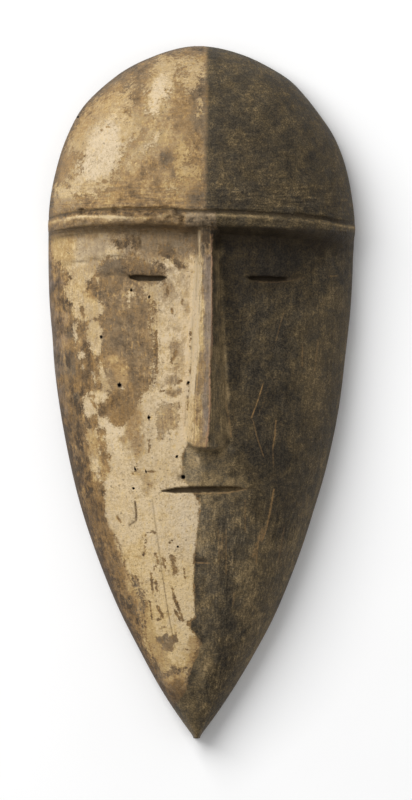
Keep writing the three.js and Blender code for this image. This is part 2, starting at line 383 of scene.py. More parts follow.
def line_distance(x, y, line):
    """Distance from an open line, in millimetres."""
    points = [place(*point) for point in line]
    nearest = np.full(x.shape, 1e9)
    for (ax, ay), (bx, by) in zip(points, points[1:]):
        dx, dy = bx - ax, by - ay
        t = clamp01(((x - ax) * dx + (y - ay) * dy) / (dx * dx + dy * dy))
        nearest = np.minimum(nearest, (x - ax - t * dx) ** 2 + (y - ay - t * dy) ** 2)
    return np.sqrt(nearest)


# Carving: gouged slits as (left end, right end, upper and lower reach in mm, depth in mm)
LEFT_EYE = ((128.2, 276.6), (167.4, 277.6), 0.5, 1.75, 4.8)
RIGHT_EYE = ((246.0, 278.2), (288.0, 279.6), 0.8, 1.1, 3.6)
MOUTH = ((160.6, 491.0), (244.5, 488.6), 1.4, 0.9, 3.6)
SLITS = (LEFT_EYE, RIGHT_EYE, MOUTH)

# The slope of a slit's wall in mm, the powers that taper its ends, and how ragged its edge is in mm
SLIT_WALL = 0.45
SLIT_TAPER = (3.5, 0.6)
SLIT_RAG = 0.17

# Scored and worn grooves: line, half width in mm, depth in mm
GROOVES = [
    ([(108, 275.2), (118, 275.3), (130, 276.2)], 0.5, 0.35),
    ([(286, 279.5), (294, 279), (302, 277.5)], 0.7, 0.35),
    ([(64, 264), (84, 261.5), (104, 257.5), (123, 255.5)], 0.45, 0.45),
    ([(140, 234), (140.5, 249)], 0.35, 0.35),
    ([(174, 261), (180, 267), (187, 268)], 0.3, 0.3),
    ([(135.3, 502), (136.5, 512), (136.5, 520), (130, 524)], 0.42, 0.5),
    ([(196, 560.6), (201, 560), (208, 560.8)], 0.42, 0.9),
    ([(152.5, 500), (158, 540), (163, 577), (168, 610), (175, 646)], 0.4, 0.12),
    ([(192.5, 318), (191.5, 345), (190, 372), (187.5, 398), (185.6, 425)], 0.35, 0.35),
    ([(198.5, 236), (197.5, 270), (196, 300)], 0.3, 0.2),
    ([(56, 231.5), (90, 228.8), (130, 228.5), (175, 230)], 0.35, 0.35),
    ([(60, 234), (84, 231.5), (112, 231)], 0.3, 0.3),
    ([(244, 488.8), (252, 488)], 0.4, 0.3),
    ([(179, 477.8), (183, 476.8)], 0.5, 1.0),
    ([(124, 209.5), (140, 210.3), (156, 210.6), (171, 211)], 0.45, 0.6),
    ([(296, 215), (306, 216.6), (318, 218), (332, 220.5), (352, 224)], 0.6, 0.65),
]
GROOVE_REACH = 2.2

# Dents: pixel, radius in mm, depth in mm; a negative depth is a bump
DENTS = [
    ((81.7, 212.2), 0.8, 1.8), ((114.8, 211.4), 0.75, 1.7), ((99, 209.5), 1.6, -0.35),
    ((85, 224.5), 1.0, 0.6), ((125, 226), 1.2, 0.5), ((150, 225), 1.5, 0.6), ((178, 214.5), 1.3, 1.5),
    ((182, 219), 0.9, 1.1), ((182, 225), 0.9, 0.9), ((170, 222), 1.2, 0.7), ((174, 209), 1.0, -0.4),
    ((203, 216), 1.2, 0.4), ((232, 221), 1.6, 0.35), ((280, 222), 1.8, 0.4), ((316, 226), 1.4, 0.4),
    ((188, 236), 1.0, 0.6), ((200, 392), 1.2, 0.3),
]

# Holes of wood borers: pixel, radius in mm
BORER_HOLES = [
    ((131.6, 290.7), 0.42), ((149.4, 297.6), 0.34), ((119.8, 385.1), 0.66), ((101.8, 337.2), 0.4),
    ((149.2, 417.5), 0.5), ((188.5, 382.8), 0.42), ((177.0, 456.3), 0.4), ((135.6, 468.9), 0.36),
    ((134.0, 488.0), 0.4), ((178.0, 546.0), 0.34), ((78.0, 117.2), 0.36), ((146.5, 471.5), 0.25),
    ((183.6, 476.7), 0.66),
]

# A hole's cutter: how far it reaches down and stands out, its radii at the mouth and foot, and its sides
HOLE_DEPTH, HOLE_CLEAR = 3.0, 1.5
HOLE_MOUTH, HOLE_FOOT = 1.15, 0.8
HOLE_SIDES = 10

# The rough break of the roll, left of the middle
BREAK_START, BREAK_END = pixel_x(164), pixel_x(184.5)
BREAK_DEPTH = 1.1

# Depths in mm of the wear of the nose's edges and the rim, and of the gouge marks in the hollow
NOSE_EDGE_WEAR = 0.35
RIM_WEAR = 0.12
HOLLOW_MARKS = 1.0


def slit_depth(x, y, slit):
    """How deep a slit is cut: fully between its ragged edges, less towards its ends."""
    (ax, ay), (bx, by), up, down, deep = place(*slit[0]), place(*slit[1]), *slit[2:]
    middle, half = (ax + bx) / 2, (bx - ax) / 2
    along = (x - middle) / half
    line = mix(ay, by, clamp01((along + 1) / 2))
    full = clamp01(1 - np.abs(along) ** SLIT_TAPER[0]) ** SLIT_TAPER[1]
    rough = SLIT_RAG * lattice_noise(x, y, 1.1, 2, 41)
    inside = np.minimum(line + up * full - y, y - line + down * full) + rough
    return deep * full * smooth(inside / SLIT_WALL)


def groove_depth(x, y, groove):
    """How deep a groove is, rounded across its width."""
    line, width, deep = groove
    reach = width * GROOVE_REACH
    distance = line_distance(x, y, line)
    return deep * np.exp(-((distance / width) ** 2)) * (distance < reach)


def dent_depth(x, y, dent):
    """How deep a round dent is, or how high where its depth is negative."""
    (px, py), radius, deep = dent
    dx, dy = place(px, py)
    return deep * np.exp(-(((x - dx) ** 2 + (y - dy) ** 2) / radius**2))


def band_wear(x, y):
    """Uneven height of the roll, with the rough break left of the middle."""
    above = above_band(x, y)
    on_roll = smooth((above + 6) / 1.2) * smooth((0.4 - above) / 0.8)
    lumps = 0.3 * layered_noise(x, above * 3, 9, 9, 31) + 0.28 * lattice_noise(x, above, 3.0, 2.0, 35)
    lumps += 0.14 * lattice_noise(x, above, 1.3, 1.1, 36)
    broken = smooth((x - BREAK_START) / 1.6) * smooth((BREAK_END - x) / 0.5) * smooth((-0.6 - above) / 1.0)
    rough = 0.6 + 0.6 * lattice_noise(x, y, 1.8, 1.8, 37) + 0.45 * lattice_noise(x, y, 0.9, 0.9, 38)
    return on_roll * (lumps - BREAK_DEPTH * broken * rough)


def carve(x, y, points):
    """Moves the front in or out along its normal by the carving, tool marks and wear."""
    normal = grid_normals(points)
    steep = clamp01(normal[..., 2])
    on_nose = nose_share(x, y)
    above = above_band(x, y)
    on_forehead = smooth((above - 0.8) / 2)
    push = 0.3 * layered_noise(x, y, 26, 34, 11)
    push -= 0.1 * gouge_marks(x, y, 5.5, 17, 13) * (1 - on_forehead) * (1 - on_nose)
    push -= 0.08 * gouge_marks(y, x, 6, 13, 15) * on_forehead
    push += 0.05 * lattice_noise(x, y, 0.9, 14, 17) * (1 - on_forehead)
    push += 0.1 * lattice_noise(x, y, 0.8, 30, 19) * smooth(on_nose / 0.2)
    push += band_wear(x, y)
    push -= sum(groove_depth(x, y, groove) for groove in GROOVES)
    push -= sum(dent_depth(x, y, dent) for dent in DENTS)
    rounded = NOSE_EDGE_WEAR * np.exp(-(((on_nose - 1) / 0.18) ** 2)) * (on_nose < 0.999)
    points = points + normal * (push - rounded)[..., None]
    depth = sum(slit_depth(x, y, slit) for slit in SLITS)
    points[..., 2] -= depth * np.maximum(steep, 0.5)
    return points


def hollow_grid(levels):
    """Points of the hollow, from its right foot over the top to its left foot, with gouge marks."""
    share = np.sin(np.linspace(math.pi / 2, -math.pi / 2, HOLLOW_COLUMNS + 1))[None, :]
    t = (levels[:, None] - CHIN_Y) / (CROWN_Y - CHIN_Y)
    y = mix(CHIN_Y + HOLLOW_CHIN_INSET, CROWN_Y - RIM_WIDTH, t)
    width = half_width(y, RIM_WIDTH, HOLLOW_CHIN_INSET)
    up = clamp01((y - WIDEST_Y) / (CROWN_Y - RIM_WIDTH - WIDEST_Y))
    chin = smooth(width / HOLLOW_CHIN_FADE) ** 0.5
    rise = through(HOLLOW_RISE, y) * crown_curve(up) * chin * section(share, HOLLOW_SECTION)
    x = middle_x(y) + share * width
    y = np.broadcast_to(y, x.shape)
    marks = gouge_marks(x, y, 6.5, 14, 51) + 0.5 * layered_noise(x, y, 20, 20, 53)
    rise = np.maximum(rise - HOLLOW_MARKS * smooth(rise / 6) * (marks - 0.3), 0)
    return np.stack([x, y, rise], axis=2)


def edge_strips(front, hollow):
    """The side wall from the front's edge down to the rim, and the rim across to the hollow."""
    turn = np.linspace(0, math.pi / 2, WALL_STEPS + 1)[1:]
    walls = []
    for edge, inner in ((front[:, 0], hollow[:, -1]), (front[:, -1], hollow[:, 0])):
        inward = inner - edge
        inward[:, 2] = 0
        reach = np.linalg.norm(inward, axis=1, keepdims=True)
        inward = inward / np.maximum(reach, 1e-9)
        steps = []
        for angle in turn:
            step = edge + inward * EDGE_ROUND * (1 - math.cos(angle)) * smooth(reach / 4)
            step[:, 2] = mix(EDGE_ROUND, 0, math.sin(angle))
            steps.append(step)
        foot = steps[-1]
        rim = [mix(foot, inner, (n + 1) / (RIM_STEPS + 1)) for n in range(RIM_STEPS)]
        for n, strip in enumerate(rim):
            worn = RIM_WEAR * (1 + lattice_noise(strip[:, 0] * 2, strip[:, 1], 7, 9, 61 + n))
            strip[:, 2] = worn * math.sin(math.pi * (n + 1) / (RIM_STEPS + 1))
        walls.append(steps + rim)
    return walls


def loop_points():
    """Every row of the mask as one loop: left rim and wall, front, right wall and rim, hollow."""
    levels = row_levels()
    x, y, z = front_grid(levels)
    flat = np.stack([x, np.broadcast_to(y, x.shape), z], axis=2)
    front = carve(flat[..., 0], flat[..., 1], flat)
    front[:, 0], front[:, -1] = flat[:, 0], flat[:, -1]
    hollow = hollow_grid(levels)
    left, right = edge_strips(front, hollow)
    left = np.stack(left[::-1], axis=1)
    right = np.stack(right, axis=1)
    return np.concatenate([left, front, right, hollow], axis=1), left.shape[1], front.shape[1]


def loop_faces(rows, count):
    """Faces between each loop of count points and the next one down."""
    faces = []
    for row in range(rows - 1):
        start = row * count
        for i in range(count):
            j = (i + 1) % count
            faces.append((start + i, start + count + i, start + count + j, start + j))
    return faces


def end_faces(start, first, count, loop):
    """Closes one end: front, wall and rim from left to right, strip by strip, then the hollow."""
    last = 2 * first + count - 1
    faces = [tuple(range(first - 1, first + count + 1)), (0, *range(last, loop))]
    faces += [(i, i + 1, last - i - 1, last - i) for i in range(first - 1)]
    return [tuple(start + i for i in face) for face in faces]


# Paint, drawn by pixels of the photograph like the carving. Tone runs from 0, grimy, to 1, thick and clean;
# warmth runs from 0, grey, to 1, yellow or red. Some washes also hold painted shade and painted highlights,
# as noted at them.

# The border between the halves, from under the nose to the chin
HALVES_BORDER = [
    (189, 441), (183, 455), (183, 477), (188, 484), (196, 495), (201, 504), (199, 521), (195, 556),
    (194, 584), (195, 600), (195.5, 616), (191, 620), (190.5, 627), (195, 633),
]

# Outlines where pale pigment is left, each with the softness of its edge in mm
FOREHEAD_PIGMENT = [
    ([
        (95, 102), (112, 93), (117, 88), (121, 93), (128, 88), (134, 83), (137, 86), (132, 97), (130, 112),
        (138, 120), (143, 130), (135, 138), (130, 143), (127, 153), (121, 164), (118, 178), (112, 190),
        (98, 195), (80, 197), (66, 194), (66, 178), (80, 169), (80, 157), (64, 150), (72, 135), (77, 123),
        (85, 112),
    ], 1.3),
    ([
        (152, 65), (162, 57), (187, 55), (203, 60), (206, 73), (197, 88), (187, 91), (181, 84), (184, 72),
        (179, 68), (176, 78), (177, 87), (168, 90), (165, 107), (160, 117), (152, 117), (143, 108),
        (143, 92), (150, 77),
    ], 1.2),
    ([(146, 146), (156, 133), (161, 132), (159, 143), (150, 153), (141, 158), (134, 152), (140, 146)], 1.0),
    ([(120, 140), (132, 140), (128, 152), (118, 152)], 1.2),
    ([
        (176, 152), (182, 143), (189, 140), (190, 152), (186, 165), (200, 172), (200, 181), (188, 184),
        (177, 181),
    ], 1.2),
    ([(166, 183), (175, 182), (182, 187), (178, 193), (169, 192)], 0.9),
    ([(55, 186), (64, 182), (76, 190), (79, 203), (72, 208), (56, 206)], 1.2),
    ([(198, 99), (203, 98), (202, 118), (198, 119)], 0.6),
]
FACE_PIGMENT = [
    ([
        (48, 228), (205, 228), (201, 300), (200, 345), (197, 400), (194, 436), (189, 441), (183, 455),
        (150, 460), (132, 440), (130, 424), (139, 403), (141, 393), (152, 386), (154, 378), (155, 372),
        (155, 338), (150, 330), (152, 321), (152, 308), (150, 302), (145, 298), (144, 290), (147, 284),
        (164, 283), (166, 273), (163, 265), (152, 263), (140, 259), (128, 257), (112, 259), (101, 263),
        (96, 272), (88, 280), (70, 280), (66, 273), (59, 265), (48, 258),
    ], 1.4),
    ([
        (194, 436), *HALVES_BORDER, (200, 644), (192, 662), (187, 676), (182, 686), (174, 690), (167, 684),
        (160, 670), (153, 654), (146, 638), (146, 620), (143, 600), (137, 585), (131, 579), (127, 574),
        (124, 560), (120, 548), (115, 537), (108, 528), (106, 510), (106, 490), (104, 482), (97, 478),
        (92, 470), (90, 453), (86, 438), (88, 426), (98, 416), (106, 416), (113, 425), (120, 427),
        (129, 420), (139, 403),
    ], 0.6),
]

# Where it has worn off again inside them, and the islands left in the worn wood
FACE_WORN = [
    ([
        (114, 240), (125, 242), (127, 238), (140, 238), (140, 249), (133, 250), (131, 244), (127, 249),
        (119, 249),
    ], 0.7),
    ([(152, 251.5), (154, 252), (155, 256), (153, 255.5)], 0.3),
    ([
        (158, 251), (160, 246), (168, 245.5), (174, 250), (173, 254), (177, 260), (181, 266), (187, 266.5),
        (187, 269), (179, 269), (172, 262), (163, 257),
    ], 0.7),
    ([
        (98, 430), (104, 430), (106, 440), (109, 455), (109, 470), (105, 481), (101, 478), (100, 456),
        (97, 438),
    ], 0.9),
    ([(88, 416), (97, 415), (99, 425), (93, 432), (88, 427)], 0.4),
    ([
        (160, 405), (163, 403), (169, 405), (178, 404), (180, 408), (178, 415), (180, 420), (175, 426),
        (168, 430), (162, 438), (158, 439), (159, 429), (157, 421), (158, 412),
    ], 0.9),
    ([
        (156, 636), (162, 636), (167, 631), (169, 637), (176, 632), (178, 641), (173, 642), (171, 646),
        (174, 650), (168, 651), (162, 649), (163, 643), (157, 642),
    ], 0.3),
    ([
        (158, 672), (166, 673), (170, 668), (173, 663), (177, 668), (187, 667), (181, 671), (176, 674),
        (168, 676), (162, 682), (162, 677),
    ], 0.5),
    ([(124, 580), (134, 577), (140, 583), (144, 594), (146, 606), (142, 616), (133, 613), (127, 600)], 1.1),
    ([(170, 555), (174, 556), (176, 565), (179, 568), (178, 577), (174, 574), (171, 565)], 0.5),
    ([(161, 557), (165, 559), (168, 570), (163, 567)], 0.5),
    ([
        (201.8, 231), (214, 231), (214, 345), (211, 380), (211, 425), (206, 450), (196, 446), (193.5, 436),
        (194, 400), (196, 380), (199.5, 350), (199.5, 330), (201.5, 300), (202, 270),
    ], 0.35),
]
PIGMENT_ISLANDS = [
    ([
        (56, 256), (92, 258), (98, 268), (94, 278), (87, 281), (86, 294), (92, 300), (102, 301), (105, 313),
        (98, 318), (89, 322), (78, 321), (73, 316), (71, 311), (73, 304), (68, 302), (65, 296), (64, 289),
        (67, 284), (70, 279), (67, 272), (59, 265),
    ], 0.75),
    ([(95, 277), (100, 278), (101, 286), (97, 286)], 0.35),
    ([
        (93, 320), (100, 322), (102.5, 329), (102.5, 340), (101, 352), (98, 358), (92, 352), (87, 338),
        (88, 325),
    ], 0.6),
    ([(100, 361), (106, 364), (109, 375), (112, 386), (111, 391), (103, 390), (99, 378)], 0.9),
    ([(77, 353), (84, 351), (86, 357), (80, 361)], 0.6),
    ([(82, 364), (85, 364), (84, 371), (82, 370)], 0.4),
    ([(92, 372), (96, 374), (98, 386), (94, 388)], 0.5),
    ([
        (86, 393), (93, 390), (104, 390), (110, 394), (107, 402), (99, 405), (97, 414), (87, 418),
        (84, 411), (83, 402),
    ], 0.7),
    ([(127, 292), (134, 289), (137, 296), (130, 300), (131, 309), (128, 308)], 0.8),
    ([(145, 296), (151, 296), (151, 302), (147, 303)], 0.8),
    ([(121, 387), (124, 384), (125, 389), (121, 390)], 0.4),
    ([(73, 326), (76, 324), (78, 340), (75, 348)], 0.7),
    ([
        (110, 524), (116, 536), (124, 560), (134, 582), (142, 604), (146, 636), (156, 662), (152, 664),
        (143, 642), (139, 618), (124, 588), (115, 560), (109, 536),
    ], 1.5),
]

# Tone and warmth of the pigment on the forehead and on the face, then washes over them as (outline, tone,
# warmth, softness of the edge in mm); later ones lie over earlier ones
PIGMENT_BASES = ((0.77, 0.68), (0.89, 0.5))
PIGMENT_WASHES = [
    # Forehead
    ([
        (74, 184), (78, 170), (84, 150), (94, 130), (106, 118), (118, 114), (120, 136), (128, 144),
        (124, 158), (112, 176), (94, 182),
    ], 0.95, 0.15, 2.5),
    ([(90, 100), (120, 90), (122, 106), (108, 118), (90, 122), (76, 140), (70, 130)], 0.70, 0.9, 2.0),
    ([(148, 114), (146, 96), (152, 78), (162, 72), (171, 80), (163, 104), (158, 116)], 0.96, 0.3, 2.5),
    ([(138, 148), (160, 130), (160, 145), (142, 160)], 0.86, 0.5, 1.5),
    ([(170, 134), (208, 134), (208, 205), (184, 205), (180, 190), (170, 184)], 0.76, 1.0, 2.0),
    ([(50, 180), (76, 184), (100, 190), (98, 204), (76, 206), (50, 196)], 0.86, 0.7, 2.0),
    # Band and brow
    ([(48, 232), (76, 232), (74, 262), (66, 276), (48, 276)], 0.77, 1.1, 2.2),
    ([(44, 200), (80, 198), (80, 212), (44, 214)], 0.62, 0.6, 1.6),
    # The next three, under the band, are darker pigment and grime with painted shade from the brow
    ([(78, 236), (114, 235), (116, 250), (96, 257), (80, 258)], 0.72, 0.15, 1.8),
    ([(44, 222), (210, 222), (210, 236), (44, 237)], 0.55, 0.6, 1.6),
    ([(114, 230), (203, 230), (200, 252), (176, 260), (140, 262), (126, 256)], 0.44, 0.4, 2.6),
    # Brow, eye and cheek
    ([(60, 268), (102, 264), (102, 300), (100, 350), (90, 346), (72, 318)], 0.80, 0.7, 2.0),
    ([(104, 396), (202, 380), (198, 430), (188, 450), (104, 450)], 0.99, 0.4, 4.0),
    ([(146, 284), (166, 284), (162, 312), (158, 330), (150, 320)], 0.74, 0.7, 1.6),
    ([(104, 360), (114, 380), (114, 394), (98, 392)], 0.72, 0.65, 1.5),
    ([(86, 258), (104, 258), (100, 271), (88, 270)], 0.66, 0.5, 1.2),
    ([(84, 424), (96, 424), (100, 456), (86, 456)], 0.70, 0.9, 1.4),
    ([(150, 264), (192, 268), (191, 300), (188, 330), (160, 330)], 0.80, 0.25, 3.0),
    # Under the band beside the nose's root: grime with painted shade
    ([(172, 236), (206, 236), (206, 256), (184, 256)], 0.39, 0.3, 1.5),
    ([(160, 306), (200, 300), (198, 345), (186, 352), (160, 338)], 0.91, 0.4, 2.4),
    ([(164, 286), (170, 284), (175, 290), (172, 299), (165, 297)], 0.60, 0.4, 0.8),
    ([(184, 304), (193, 303), (192, 314), (185, 314)], 0.62, 0.35, 0.8),
    ([(170, 344), (176, 340), (182, 343), (181, 354), (176, 360), (171, 357)], 0.58, 0.4, 1.0),
    ([(172, 362), (184, 360), (186, 376), (176, 376)], 0.70, 0.5, 1.2),
    ([(166, 378), (178, 374), (181, 382), (170, 387), (162, 388)], 0.60, 0.4, 0.9),
    ([(166, 390), (181, 388), (183, 393), (174, 397), (166, 394)], 0.50, 0.4, 0.6),
    ([(152, 389), (170, 386), (183, 383), (183, 386), (170, 389), (154, 392)], 1.0, 0.5, 0.4),
    ([(127, 402), (140, 400), (147, 425), (145, 452), (136, 458), (122, 438)], 0.56, 0.8, 2.2),
    ([(142, 396), (158, 394), (156, 450), (146, 452)], 0.86, 0.35, 1.8),
    # Beside the mouth, and the chin
    ([(140, 474), (150, 470), (153, 486), (148, 497), (141, 492)], 0.69, 0.8, 2.2),
    ([(122, 494), (196, 494), (200, 520), (196, 560), (194, 600), (160, 600), (130, 560)], 0.94, 0.62, 5.0),
    ([
        (112, 540), (140, 540), (158, 600), (178, 640), (186, 690), (166, 696), (148, 650), (120, 572),
    ], 0.85, 1.0, 3.0),
    ([
        (106, 520), (114, 536), (123, 562), (134, 586), (141, 606), (144, 640), (154, 664), (166, 688),
        (150, 690), (126, 640), (104, 570),
    ], 0.40, 1.1, 1.0),
    ([(138, 572), (197, 568), (197, 640), (192, 690), (164, 690), (146, 636)], 0.93, 1.0, 6.0),
    ([(140, 600), (150, 606), (160, 640), (168, 668), (154, 664), (144, 636)], 0.74, 1.3, 1.5),
    ([(168, 590), (196, 586), (196, 640), (180, 640)], 1.0, 0.7, 3.0),
    ([(166, 494), (202, 494), (200, 548), (170, 545)], 0.94, 0.3, 4.0),
    ([(190, 636), (204, 640), (200, 656), (188, 664)], 0.66, 1.0, 0.8),
    ([(150, 634), (166, 650), (170, 668), (188, 670), (184, 698), (160, 690)], 0.68, 1.0, 2.0),
    ([(164, 682), (184, 678), (182, 704), (166, 704)], 0.20, 0.9, 1.2),
    # Beside the nose: the left plane's cream, brightened with painted light, its yellow foot, and a painted
    # highlight along the bridge's left edge
    ([
        (194, 262), (203, 262), (204, 300), (200, 345), (196, 400), (193, 440), (183, 440), (188, 345),
    ], 1.2, 0.38, 1.2),
    ([(187, 400), (195, 396), (194, 442), (187, 440)], 0.93, 0.85, 0.8),
    ([(198.4, 231), (200.6, 231), (200.6, 300), (198.4, 300)], 1.0, 0.5, 0.3),
]

# The same for the wood where the pigment has worn off
WORN_BASES = ((0.49, 0.82), (0.31, 0.85))
WORN_WASHES = [
    # Forehead
    ([(100, 184), (150, 182), (186, 198), (186, 212), (98, 212)], 0.48, 0.9, 3.0),
    ([(132, 104), (166, 100), (178, 128), (172, 150), (150, 170), (122, 178), (126, 150)], 0.68, 0.75, 2.5),
    ([(176, 170), (196, 186), (186, 206), (160, 206), (158, 184)], 0.62, 1.0, 2.5),
    ([(120, 84), (150, 60), (150, 84), (142, 112), (130, 104)], 0.36, 0.6, 2.0),
    ([(130, 132), (145, 130), (146, 141), (134, 147)], 0.48, 0.8, 1.5),
    ([(163, 155), (171, 150), (174, 158), (170, 168), (162, 168)], 0.27, 0.4, 1.8),
    ([(171, 170), (177, 168), (177, 179), (172, 179)], 0.34, 0.6, 1.0),
    ([
        (206, 40), (206, 53), (190, 52), (176, 56), (160, 58), (148, 64), (134, 74), (122, 82), (108, 92),
        (95, 102), (84, 111), (76, 122), (70, 134), (64, 148), (60, 160), (57, 178), (53, 195), (51, 212),
        (30, 212), (30, 100), (100, 30),
    ], 0.29, 0.4, 2.2),
    ([
        (201, 66), (209, 60), (209, 210), (190, 210), (190, 196), (202, 182), (204, 160), (200, 138),
        (196, 120), (194, 96), (198, 88),
    ], 0.29, 0.35, 1.7),
    ([(186, 136), (201, 136), (202, 172), (194, 170), (186, 156)], 0.48, 0.9, 1.4),
    # Left edge
    ([(44, 232), (50, 232), (52, 300), (56, 372), (50, 372), (44, 300)], 0.26, 0.25, 1.2),
    ([(73, 320), (88, 321), (87, 345), (76, 346)], 0.48, 0.95, 1.6),
    ([(78, 300), (58, 300), (60, 320), (74, 322)], 0.24, 0.7, 1.6),
    ([(70, 346), (84, 344), (92, 362), (88, 380), (76, 378)], 0.24, 0.8, 2.0),
    ([(66, 331), (73, 331), (74, 341), (67, 341)], 0.20, 0.2, 1.4),
    ([(54, 356), (76, 356), (76, 376), (58, 376)], 0.18, 0.3, 2.0),
    ([(50, 296), (66, 300), (68, 344), (54, 344)], 0.40, 1.0, 2.0),
    ([(72, 391), (80, 391), (81, 403), (74, 403)], 0.15, 0.2, 1.4),
    ([(74, 440), (100, 500), (112, 560), (96, 560), (70, 470)], 0.20, 1.0, 3.0),
    # Brow, eye and cheek
    ([
        (95, 268), (112, 256), (164, 262), (166, 284), (152, 300), (156, 375), (138, 402), (108, 418),
        (100, 300),
    ], 0.38, 0.6, 2.0),
    ([(97, 271), (102, 262), (112, 257), (128, 257), (128, 274), (104, 276)], 0.20, 0.3, 1.0),
    ([(122, 258), (144, 257), (166, 263), (168, 276), (124, 275)], 0.21, 0.7, 1.2),
    ([(92, 276), (120, 278), (122, 288), (96, 292)], 0.40, 0.7, 1.5),
    ([(104, 318), (112, 316), (122, 324), (130, 340), (150, 340), (140, 360), (110, 350)], 0.35, 0.5, 2.4),
    ([(109, 358), (118, 356), (128, 362), (131, 382), (124, 396), (116, 388), (113, 375)], 0.64, 0.95, 1.6),
    ([(106, 396), (140, 396), (128, 426), (112, 428)], 0.36, 1.0, 1.6),
    ([(120, 392), (140, 372), (152, 376), (138, 400), (120, 404)], 0.36, 0.85, 2.0),
    ([(113, 238), (143, 238), (143, 250), (113, 250)], 0.16, 0.6, 0.8),
    ([(150, 244), (190, 244), (190, 272), (150, 270)], 0.20, 0.45, 0.8),
    ([(154, 400), (184, 400), (178, 440), (154, 440)], 0.66, 0.5, 1.5),
    # Chin
    ([
        (100, 545), (118, 574), (128, 583), (140, 610), (148, 642), (170, 696), (192, 740), (150, 700),
        (92, 560),
    ], 0.17, 1.0, 2.0),
    ([(124, 578), (138, 580), (147, 604), (142, 620), (130, 612)], 0.34, 0.35, 1.6),
    ([(154, 628), (180, 628), (180, 656), (154, 656)], 0.36, 0.45, 0.8),
    ([(156, 660), (190, 660), (190, 686), (156, 686)], 0.30, 0.5, 0.8),
    # Nose, then small areas of the left edge, the chin's tip and the nose
    ([
        (199, 228), (214, 228), (214, 345), (211, 380), (211, 425), (206, 452), (190, 446), (194, 400),
        (200, 290),
    ], 0.55, 0.65, 0.5),
    ([
        (202, 228), (214, 228), (214, 345), (208.5, 345), (206.5, 330), (204.5, 290), (202, 262),
    ], 0.49, 0.0, 0.6),
    # The next two darken the nose's root under the band: grime with painted shade
    ([(200, 230), (214, 230), (214, 262), (202, 262)], 0.36, 0.3, 1.4),
    ([(192, 222), (216, 222), (216, 240), (206, 246), (192, 242)], 0.10, 0.6, 1.3),
    ([(94, 430), (112, 430), (114, 466), (96, 466)], 0.44, 1.0, 1.5),
    ([(92, 464), (112, 464), (112, 484), (94, 480)], 0.60, 1.1, 1.2),
    ([(60, 426), (79, 426), (84, 470), (70, 470)], 0.17, 0.7, 1.5),
    ([(158, 684), (184, 690), (186, 716), (170, 712)], 0.10, 0.9, 1.0),
    ([(201.5, 394), (207.5, 394), (207, 434), (202.5, 434)], 0.50, 0.0, 0.6),
    ([(200, 302), (205, 302), (205, 352), (199, 352)], 0.82, 0.9, 0.5),
    ([(204.5, 308), (211, 308), (211, 346), (205, 346)], 0.68, 0.1, 0.8),
    ([(195, 377), (206, 377), (206, 390), (195, 390)], 0.50, 0.6, 0.6),
    ([(194, 392), (201, 392), (206, 436), (206, 447), (194, 446)], 0.67, 0.85, 0.6),
]

# Short strokes where the pale pigment has flaked off: line and half width in mm
FLAKED_STROKES = [
    ([(176, 88), (175, 76), (179, 69), (184, 70), (186, 75)], 0.35),
    ([(183, 181.5), (190, 180), (196, 181)], 0.3), ([(187, 146), (194, 148), (197, 154)], 0.35),
    ([(191, 142), (190, 152), (194, 158)], 0.3), ([(78, 158), (70, 160), (64, 157)], 0.4),
    ([(100, 132), (108, 128), (116, 131)], 0.25), ([(86, 118), (92, 112)], 0.25),
    ([(146, 96), (152, 91)], 0.3), ([(72, 194), (77, 198), (79, 205)], 0.2),
    ([(96, 186), (104, 182), (112, 184)], 0.3), ([(90, 397), (94, 396.5), (92, 402), (95, 406)], 0.5),
    ([(82, 308), (82.5, 313), (84, 316)], 0.6), ([(70, 277), (71, 279)], 0.4),
    ([(155, 553), (159, 561), (154, 568)], 0.4), ([(151, 573), (153, 592)], 0.35),
    ([(156, 580), (157, 590)], 0.35), ([(174, 596), (178, 606), (183, 620)], 0.5),
    ([(175, 610), (180, 618)], 0.5), ([(158, 606), (163, 616), (158, 619)], 0.45),
    ([(150, 600), (152, 618)], 0.2), ([(188.5, 623), (193.5, 625)], 0.8), ([(151, 531), (157, 533)], 0.3),
    ([(143, 536), (148, 533)], 0.25), ([(117, 516), (121, 522)], 0.35), ([(184, 566), (185, 578)], 0.2),
    ([(172, 586), (174, 596)], 0.25), ([(160, 628), (166, 626)], 0.3), ([(184, 648), (190, 650)], 0.3),
    ([(168, 544), (172, 540)], 0.2), ([(146, 470), (156, 472)], 0.3), ([(146, 540), (144, 556)], 0.25),
    ([(156, 308), (157, 332)], 0.2), ([(156.5, 332), (157, 374)], 0.45), ([(168, 288), (168, 296)], 0.35),
    ([(172, 310), (173, 314)], 0.4), ([(191.3, 326), (190, 374)], 0.3), ([(189, 384), (186.5, 420)], 0.2),
    ([(133, 474), (138, 468)], 0.2), ([(102, 360), (108, 378), (114, 392)], 0.3),
    ([(141, 232), (141, 248)], 0.2), ([(183, 300), (182, 306)], 0.4), ([(176, 352), (172, 362)], 0.5),
    ([(160, 392), (172, 388), (182, 380)], 0.3), ([(152, 300), (157, 306)], 0.3),
    ([(148, 484), (152, 486)], 0.2), ([(150, 440), (149, 452)], 0.2),
]

